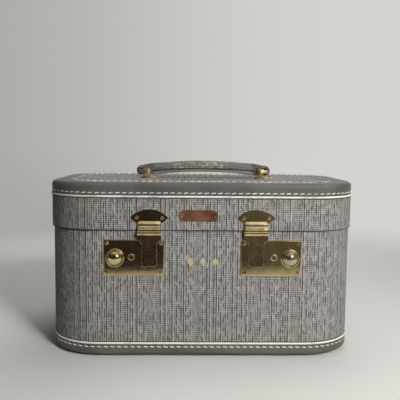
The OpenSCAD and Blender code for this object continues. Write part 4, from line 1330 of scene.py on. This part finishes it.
@dataclass
class KeyRing:
    """The raised ring round a keyhole: a half-round bead."""

    mid_x: float = 79.0
    mid_z: float = 114.1
    plate_y: float = -109.075
    ring_r: float = 3.2
    bead_r: float = 0.6

    def build(self, side: Side) -> None:
        """Turns the bead's circle round the keyhole: its distance from the middle is the ring's
        radius plus the bead's times cosine, and its height off the plate the bead's times sine.

        Args:
            side: the lock that it belongs to.
        """
        turn, roll = circle(40)[:, None], circle(12)
        reach = self.ring_r + self.bead_r * np.cos(roll)
        points = stacked(side.value * self.mid_x + reach * np.cos(turn),
                         self.plate_y - self.bead_r * np.sin(roll), self.mid_z + reach * np.sin(turn))
        settle(put_mesh(f"key_ring_{side.label}", points, [grid_faces(40, 12, True, True)]),
               Body.CASE, Slot.BRASS)


@dataclass
class Link:
    """A handle link: two stamped side plates and the two bars that they carry."""

    mid_x: float = HANDLE_MID[0]
    mid_y: float = HANDLE_MID[1]
    pivot: tuple[float, float] = (69.5, 199.3)
    bar: tuple[float, float] = (79.026, 204.8)
    pivot_r: float = 2.7
    bar_r: float = 2.15
    wire_r: float = 1.2
    inner_y: float = 10.6
    outer_y: float = 13.0
    rim: float = 0.28
    bar_in: float = 0.4

    def plate(self) -> Array:
        """The side plate's outline: arcs about the pivot, the lower toe, the eye of the bar and
        the two upper corners, joined by straights.

        Returns:
            Rows of x and z.
        """
        return np.vstack([arc(self.pivot, self.pivot_r, 180, 268, 9),
                          arc((74.4, 197.7), 1.1, 270, 352, 7), [[75.6, 202.2], [76.4, 202.75]],
                          arc(self.bar, self.bar_r, -90, 90, 15), [[76.6, 206.95], [75.7, 207.3]],
                          arc((74.6, 207.3), 0.9, 10, 90, 5),
                          arc((67.8, 207.2), 1.0, 90, 178, 6)])

    def build(self, side: Side) -> None:
        """Joins the plates, with eased rims, and the round bars between them.

        Args:
            side: the end of the handle that it holds.
        """
        shape, thick = self.plate(), self.outer_y - self.inner_y
        middle = shape.mean(axis=0)
        drawn = np.array([[0.93, 0.0], [1.0, self.rim], [1.0, thick - self.rim], [0.93, thick]])
        flat = middle + (shape - middle)[None] * drawn[:, :1, None]
        ring = on_circle(circle(20)) * self.wire_r
        ends = np.array([-1, 1]) * (self.inner_y + self.bar_in)
        tubes = [(flat, way * (self.inner_y + drawn[:, 1])) for way in (-1, 1)]
        tubes += [((ring + mid)[None], ends) for mid in (self.pivot, self.bar)]
        points, faces, start = [], [], 0
        for plan, across in tubes:
            rings = stacked(self.mid_x + side.value * plan[..., 0], self.mid_y + across[:, None],
                            plan[..., 1])
            faces += [block + start for block in ended_tube(rings)]
            points.append(rings.reshape(-1, 3))
            start += len(points[-1])
        settle(put_mesh(f"stamped_link_{side.label}", np.vstack(points), faces), f"link_{side.label}",
               Slot.BRASS, SATIN_BRASS, (f"link_{side.label}",))


@dataclass
class LeafFolds:
    """The folds of a crown mount between the crown and the knuckles: a sloped band that swells
    out from the wall, and a bead under it."""

    mid_x: float = 59.0
    half: float = 12.35
    notch_x: float = 6.6
    notch_in: float = 1.6
    bead_top: float = 147.7

    def section(self) -> Array:
        """The closed section.

        Returns:
            Rows of how far forward and how high.
        """
        return np.vstack([
            [[0.0, 154.3], [1.15, 154.3], [1.55, 153.85], [3.05, 151.75]],
            arc((2.85, 151.25), 0.5, 45, 0, 4),
            [[3.35, 148.4], [3.25, 148.0], [2.75, 147.75]],
            [[2.70, 147.55], [3.15, 147.35]],
            arc((2.30, 145.85), 1.28, 60, -80, 12),
            [[2.0, 144.35], [0.0, 144.35]],
        ])

    def build(self, side: Side) -> None:
        """Draws the section along x, a little smaller at both ends so that its rims are eased,
        with two notches through the bead beside the middle knuckle.

        Args:
            side: the hasp that it stands over.
        """
        flat = self.section()
        middle = np.array([1.2, 149.2])
        notch = np.array([(n + d, 1.0) for n in (-self.notch_x, self.notch_x)
                          for d in (-0.62, -0.52, 0.52, 0.62)])
        ends = np.vstack([[(-self.half, 0.93), (-self.half + 0.3, 1.0)], notch,
                          [(self.half - 0.3, 1.0), (self.half, 0.93)]])
        ring = middle + (flat - middle)[None] * ends[:, 1, None, None]
        cut = np.zeros(len(ends), bool)
        cut[[3, 4, 7, 8]] = True
        low = cut[:, None] & (flat[None, :, 1] < self.bead_top)
        ring[..., 0] = np.where(low, np.minimum(ring[..., 0], self.notch_in), ring[..., 0])
        rings = stacked(ends[:, :1] + side.value * self.mid_x, LID.front - ring[..., 0], ring[..., 1])
        settle(put_mesh(f"leaf_folds_{side.label}", rings, ended_tube(rings)), Body.LID, Slot.BRASS,
               FOLD_BRASS)


@dataclass
class Brassware:
    """The pressed and cast brass pieces, with eased edges that catch the light."""

    pressed_edge: float = 0.45
    strip_edge: float = 0.5
    barrel_edge: float = 0.30
    strap_face_y: float = -110.075
    strap_top_z: float = 138.4
    strap_lean: float = 0.050

    def lift_tip(self, strap: bpy.types.Object) -> None:
        """Leans the strap's face out towards its tip, as the free end of a pressed strap stands:
        each point of the face moves forward by the lean times its way below the knuckles.

        Args:
            strap: the hasp's new piece.
        """
        mesh = strap.data
        points = places(mesh.vertices, "co")
        below = np.maximum(self.strap_top_z - points[:, 2], 0.0)
        on_face = np.abs(points[:, 1] - self.strap_face_y) < 0.35
        points[:, 1] -= np.where(on_face, self.strap_lean * below, 0.0)
        mesh.vertices.foreach_set("co", (points * MM).ravel())
        mesh.update()

    def pressed(self, node: str, name: str, body: Body | str) -> bpy.types.Object:
        """A pressed plate, with the widest edges that it can have."""
        return eased_copy(node, name, body, Slot.BRASS, self.pressed_edge, 3, clamp=False)

    def build(self) -> None:
        """Builds the hasps, crown mounts and base strips from their CAD nodes."""
        for side in Side:
            label = side.label
            strap = self.pressed(f"hasp_{label}", f"hasp_strap_{label}", f"hasp_{label}")
            self.lift_tip(strap)
            below = places(strap.data.polygons, "center")[:, 2] < self.strap_top_z
            dress_part(strap, below, STRAP_BRASS)
            LeafFolds().build(side)
            eased_copy(f"key_plug_{label}", f"key_barrel_{label}", f"key_{label}", Slot.BRASS,
                       self.barrel_edge)
            for part in (KeyRing(), Knob(), Link()):
                part.build(side)
        self.pressed("lock_plates", "lock_faces", Body.CASE)
        self.pressed("hasp_mounts", "crown_mounts", Body.LID)
        eased_copy("handle_saddles", "base_strips", Body.LID, Slot.BRASS, self.strip_edge, own=STRIP_BRASS)
        LOG.info("brassware: hasps, knobs, links, crown mounts and base strips")


@dataclass
class Inside:
    """The lift-out tray, the mirror's frame, the stays and the rear hinges, with soft edges."""

    box_edge: float = 0.75
    wall_edge: float = 0.5
    rim_edge: float = 0.8
    leaf_edge: float = 0.45
    stay_edge: float = 0.3
    tab_edge: float = 0.35
    stitch_long: float = 2.6
    stitch_thick: float = 0.8
    row_in: float = 2.6

    def tabs(self) -> None:
        """The tray's pull tabs, each with a row of five stitches along its foot."""
        eased_copy("tray_pulls", "tray_tabs", Body.TRAY, Slot.LEATHER, self.tab_edge)
        low, high = (np.array(corner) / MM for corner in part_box("tray_pulls"))
        steps, sides = np.array([-1.0, -0.8, 0.0, 0.8, 1.0]), circle(6)
        radius = stitch_radius(steps, self.stitch_thick)[:, None]
        run = steps[:, None] * self.stitch_long / 2
        one = stacked(radius * np.cos(sides), run, radius * np.sin(sides))
        thick = np.ptp(np.abs(places(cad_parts["tray_pulls"].data.vertices, "co")[:, 0]))
        ys = np.linspace(low[1] + self.row_in, high[1] - self.row_in, 5)
        feet = np.array([(x, y, low[2] + self.row_in) for x in (low[0] + thick, high[0] - thick)
                         for y in ys])
        faces = repeated(ended_tube(one), one.size // 3, len(feet))
        settle(put_mesh("stitches_tray_tabs", feet[:, None, None] + one, faces), Body.TRAY, Slot.PIPING)

    def build(self) -> None:
        """Eases the tray, the mirror's frame, the stays and the hinge leaves."""
        eased_copy("tray_shell", "tray_box", Body.TRAY, Slot.TRAY, self.box_edge, 3)
        eased_copy("tray_dividers", "tray_walls", Body.TRAY, Slot.TRAY, self.wall_edge)
        eased_copy("mirror_frame", "mirror_rim", Body.LID, Slot.INNER, self.rim_edge, 3)
        for part, body in (("lower", Body.CASE), ("upper", Body.LID)):
            eased_copy(f"hinge_leaves_{part}", f"rear_leaves_{part}", body, Slot.INNER, self.leaf_edge)
        for side in Side:
            for link in (f"lower_{side.label}", f"upper_{side.label}"):
                eased_copy(f"stay_{link}", f"stay_bar_{link}", f"stay_{link}", Slot.INNER, self.stay_edge)
        self.tabs()
        LOG.info("inside: tray, tabs, mirror rim, stays and rear hinges")


@dataclass
class NamePlate:
    """The oblong copper plate, left bare: a raised border round a sunk, worn field."""

    mid_x: float = -5.0
    mid_z: float = 160.2
    width: float = 43.4
    height: float = 12.6
    radius: float = 6.2
    thickness: float = 0.8
    chamfer: float = 0.25
    sunk: float = 0.28
    border: float = 1.5
    rivet_in: float = 3.2
    boss_r: float = 2.3

    def build(self) -> None:
        """Builds the plate.

        A point goes from the plate's middle line to its outline. Its height is full on the
        border and round the rivets, and sunk between them.
        """
        outline = Outline(self.width, self.height, self.radius, mid=(0.0, 0.0))
        edge, _ = outline.at(np.arange(160) * outline.length / 160)
        straight = self.width / 2 - self.radius
        core = stacked(np.clip(edge[:, 0], -straight, straight), 0.0)
        share = np.concatenate([np.linspace(0, 0.72, 9), np.linspace(0.75, 0.97, 12), [0.99, 1.0]])
        plan = core[:, None] + (edge - core)[:, None] * share[None, :, None]
        depth = np.linalg.norm(edge[:, None] - plan, axis=-1)
        rise = 1 - ease(depth, self.border - 0.2, self.border + 0.35)
        at = self.width / 2 - self.rivet_in
        boss = np.maximum(*[1 - ease(np.hypot(plan[..., 0] - s * at, plan[..., 1]), self.boss_r - 0.3,
                                     self.boss_r + 0.3) for s in (-1, 1)])
        high = self.thickness - self.sunk * (1 - np.maximum(rise, boss))
        high = high - self.chamfer * ease(share, 0.975, 1.0)[None]
        high = np.concatenate([high, 0 * high[:, :1]], axis=1)
        plan = np.concatenate([plan, edge[:, None]], axis=1)
        points = stacked(plan[..., 0] + self.mid_x, LID.front - high, plan[..., 1] + self.mid_z)
        count, columns = high.shape
        rim = (np.arange(count) * columns + columns - 1)[None]
        settle(put_mesh("plain_name_plate", points, [grid_faces(count, columns, True, False), rim]),
               Body.LID, Slot.COPPER, nodes=("name_plate",))
        LOG.info("name plate: bare, with a raised border")


@dataclass
class FoilMarks:
    """Three small foil lozenges where the body's front carries its gilding."""

    xs: tuple[float, float, float] = (-13.5, 0.2, 13.9)
    mid_z: float = 108.6
    half_wide: float = 3.0
    half_high: float = 4.6
    power: float = 1.6
    thickness: float = 0.06
    sunk: float = 0.02

    def build(self) -> None:
        """Each mark is a thin lozenge with drawn-in sides: x as cosine and z as sine of the
        way round, each to a power, on a face that stands just off the cloth."""
        shape = signed_power(on_circle(circle(24)), self.power)
        xs, off = np.array(self.xs)[:, None, None], np.array([-self.sunk, self.thickness])[:, None]
        points = stacked(xs + shape[:, 0] * self.half_wide, BODY.front - off,
                         shape[:, 1] * self.half_high + self.mid_z)
        faces = repeated(ended_tube(points[0]), points[0].size // 3, len(self.xs))
        settle(put_mesh("foil_marks", points, faces, smooth=False), Body.CASE, Slot.BRASS, GOLD_FOIL)
        LOG.info("foil marks: 3 lozenges")


@dataclass(frozen=True)
class Lamp:
    """A soft square lamp that faces a point: places and sizes in metres, the spread in degrees."""

    name: str
    place: Colour
    size: float
    watts: float
    tint: Colour
    aim: Colour = (0.0, 0.0, 0.1)
    spread: float = 180.0

    def hang(self) -> None:
        """Hangs the lamp, hidden from shiny pieces."""
        data = bpy.data.lights.new(self.name, "AREA")
        data.shape = "RECTANGLE"
        data.size = data.size_y = self.size
        data.energy = self.watts
        data.color = self.tint
        data.spread = math.radians(self.spread)
        hung = added(self.name, data)
        hung.visible_glossy = False
        away = Vector(self.place) - Vector(self.aim)
        hung.matrix_world = Matrix.Translation(Vector(self.place)) @ away.to_track_quat(
            "Z", "Y").to_matrix().to_4x4()


@dataclass
class Studio:
    """Floor, light and camera. The eye is in millimetres and everything else in metres."""

    eye: tuple[float, float, float] = (-16.7, -763.3, 238.0)
    yaw: float = 1.15
    pitch: float = 5.25
    roll: float = 0.51
    lens: float = 54.0
    floor: Colour = (0.82, 0.82, 0.805)
    floor_bounce: Colour = (0.60, 0.60, 0.59)
    floor_far: Colour = (0.95, 0.95, 0.935)
    floor_half: float = 30.0
    # the backdrop's painted shade: darker on the left, lighter on the right
    back_left: Colour = (0.665, 0.66, 0.645)
    back_right: Colour = (0.83, 0.827, 0.81)
    back_span: tuple[float, float] = (-0.42, 0.26)
    lit_span: tuple[float, float] = (0.20, 0.95)
    far_span: tuple[float, float] = (0.56, 1.15)
    dim: float = 0.05
    dim_tint: tuple[float, float, float, float] = (0.94, 0.97, 1.0, 1.0)
    far_glow: float = 0.12
    dusk_low: Colour = (0.165, 0.158, 0.155)
    dusk_high: Colour = (0.27, 0.25, 0.235)
    dusk_right: Colour = (0.355, 0.35, 0.33)
    room_r: float = 3.6
    room_turn: tuple[float, float] = (128.0, 412.0)
    room_lift: tuple[float, float] = (-2.0, 58.0)
    card: tuple[float, float, float, float] = (3.4, -3.4, -0.43, 0.002)
    window_half: float = 0.36
    window_glow: float = 2.2
    lamps: tuple[Lamp, ...] = (
        Lamp("key", (0.72, -1.27, 0.80), 0.42, 2.55, (1.0, 0.985, 0.96), (0.075, -0.08, 0.09), 48.0),
        Lamp("overhead", (0.12, 0.28, 1.30), 0.8, 7.5, (1.0, 0.99, 0.97)),
        Lamp("behind", (0.60, 1.60, 0.95), 1.2, 5.5, (0.98, 0.99, 1.0)),
    )

    def camera(self) -> None:
        """Stands the camera at the eye, turned right by yaw and down by pitch, and rolled."""
        yaw, pitch, roll = (math.radians(a) for a in (self.yaw, self.pitch, self.roll))
        ahead = Vector((math.sin(yaw) * math.cos(pitch), math.cos(yaw) * math.cos(pitch),
                        -math.sin(pitch)))
        right = Vector((math.cos(yaw), -math.sin(yaw), 0.0))
        up = right.cross(ahead)
        across = right * math.cos(roll) + up * math.sin(roll)
        above = up * math.cos(roll) - right * math.sin(roll)
        data = bpy.data.cameras.new("camera")
        data.lens = self.lens
        data.sensor_width = 36.0
        data.clip_start = 0.01
        seen = added("camera", data)
        turn = Matrix((across, above, -ahead)).transposed()
        seen.matrix_world = Matrix.Translation(Vector(self.eye) * MM) @ turn.to_4x4()
        bpy.context.scene.camera = seen

    def fan(self, g: Graph, x: Value, y: Value) -> Value:
        """The backdrop's colour, with painted shade that darkens it to the left: mixed by x over the way
        from the middle.
        """
        return g.mix((x / g.far(x, y)).span(*self.back_span), self.back_left, self.back_right)

    def surroundings(self) -> None:
        """A pale world that the camera, metal and glass see, and a dimmer one that lights."""
        g = Graph("studio", world=True)
        x, y, _ = g.parts()
        # painted shade: what the camera, metal and glass see of the world is darker to the left
        pale = g.named("Background", Color=self.fan(g, x, y))
        dim = g.named("Background", Color=self.dim_tint, Strength=self.dim)
        bpy.context.scene.world = g.end(g.blend(g.seen(), dim, pale))

    def stand(self, name: str, points: Array, material: bpy.types.Material, mirrored: bool = True,
              faces: Array = ONE_FACE) -> None:
        """Adds a piece of the stage.

        Args:
            name: its name.
            points: places in metres.
            material: its finish.
            mirrored: lets only shiny pieces see it.
            faces: one row of point numbers for each face, by default a single face.
        """
        mesh = bpy.data.meshes.new(name)
        mesh.from_pydata(points.reshape(-1, 3).tolist(), [], faces.tolist())
        mesh.materials.append(material)
        made = added(name, mesh)
        if mirrored:
            made.visible_camera = made.visible_diffuse = False
            made.visible_shadow = made.visible_transmission = False

    def card_points(self, right: float, near: float, far: float, height: float) -> Array:
        """The corners of a level card, as wide to the left as to the right."""
        return np.array([(-right, near, height), (right, near, height), (right, far, height),
                         (-right, far, height)])

    def ground(self) -> None:
        """A pale floor that takes the lamps' light and the case's shadow near it, and far away
        goes over into the backdrop's colour, with its painted shade to the left."""
        g = Graph("pale_floor")
        x, y, _ = g.parts()
        far = g.far(x, y)
        lit = g.mix(g.noise(5, detail=2.0).span(0.3, 0.7), self.floor, tuple(c * 0.99 for c in self.floor))
        lit = g.mix(far.span(*self.lit_span), lit, self.floor_far)
        bounced = g.result(g.node("LightPath"), "Is Diffuse Ray")
        near = g.named("BsdfDiffuse", Color=g.mix(bounced, lit, self.floor_bounce))
        glow = g.seen().span(0.0, 1.0, self.far_glow, 1.0)
        # painted shade: the far floor glows in the backdrop's colours, darker to the left
        away = g.named("Emission", Color=self.fan(g, x, y), Strength=glow)
        half = self.floor_half
        self.stand("floor", self.card_points(half, -half, half, 0.0),
                   g.end(g.blend(far.span(*self.far_span), near, away)), mirrored=False)

    def dusk(self, name: str, upright: bool) -> bpy.types.Material:
        """The dark room's glow.

        It fades out where its panel ends: with height on the wall, and on the floor over a strip
        that widens from left to right.

        Args:
            name: the material's name.
            upright: says that it is for the wall.
        Returns:
            The material.
        """
        g = Graph(name)
        x, y, z = g.parts()
        if upright:
            clear = z.span(1.9, 2.9, 0.0, 0.75)
        else:
            wide = g.sums("MINIMUM", g.most(x * 0.333 + 0.085, 0.045), 0.17)
            reach = (y + x.span(-0.10, 0.10, 0.525, 0.495)) / wide
            clear = reach.span(-1.0, 0.0) * x.span(-0.10, 0.15, 1.0, 0.72)
        dusk = g.mix(g.noise(1.3, detail=3.0).span(0.4, 0.65), self.dusk_low, self.dusk_high)
        glow = g.named("Emission", Color=g.mix(x.span(0.0, 0.30), dusk, self.dusk_right))
        return g.end(g.blend(clear, glow, g.named("BsdfTransparent")))

    def dark_room(self) -> None:
        """What the brass sees in front of it: a dark room beyond the lit floor."""
        turn = np.radians(np.linspace(*self.room_turn, 49))[:, None]
        lift = np.radians(np.linspace(*self.room_lift, 14))
        ball = self.room_r * stacked(np.cos(turn) * np.cos(lift), np.sin(turn) * np.cos(lift),
                                     np.sin(lift))
        self.stand("dark_room_wall", ball, self.dusk("dark_room_wall", True),
                   faces=grid_faces(49, 14, False, False))
        self.stand("dark_room_floor", self.card_points(*self.card), self.dusk("dark_room_floor", False))

    def window(self) -> None:
        """A soft pale window where the key lamp hangs."""
        mid = Vector(self.lamps[0].place)
        away = mid.normalized()
        side = Vector((0, 0, 1)).cross(away).normalized() * self.window_half
        rise = away.cross(side).normalized() * self.window_half
        g = Graph("window_glow")
        pale = g.mix(g.noise(3).span(0.3, 0.7), (0.97, 0.98, 1.0), (1.0, 1.0, 0.98))
        corners = np.array([mid - side - rise, mid + side - rise, mid + side + rise, mid - side + rise])
        self.stand("window", corners, g.end(g.named("Emission", Color=pale, Strength=self.window_glow)))

    def build(self) -> None:
        """Sets up the camera, the floor, the dark room in front, its window and the lamps."""
        self.camera()
        self.surroundings()
        self.ground()
        self.dark_room()
        self.window()
        for lamp in self.lamps:
            lamp.hang()
        bpy.context.scene.view_settings.view_transform = "Standard"
        LOG.info("studio: camera, floor, dark room, window and lamps")


def main() -> None:
    """Builds and dresses the whole case in order."""
    logging.basicConfig(level=logging.INFO, format="%(message)s")
    Studio().build()
    dress_nodes()
    for part in (EdgeBinding(), Handle(), Brassware(), Inside(), NamePlate(), FoilMarks()):
        part.build()


if __name__ == "__main__":
    main()
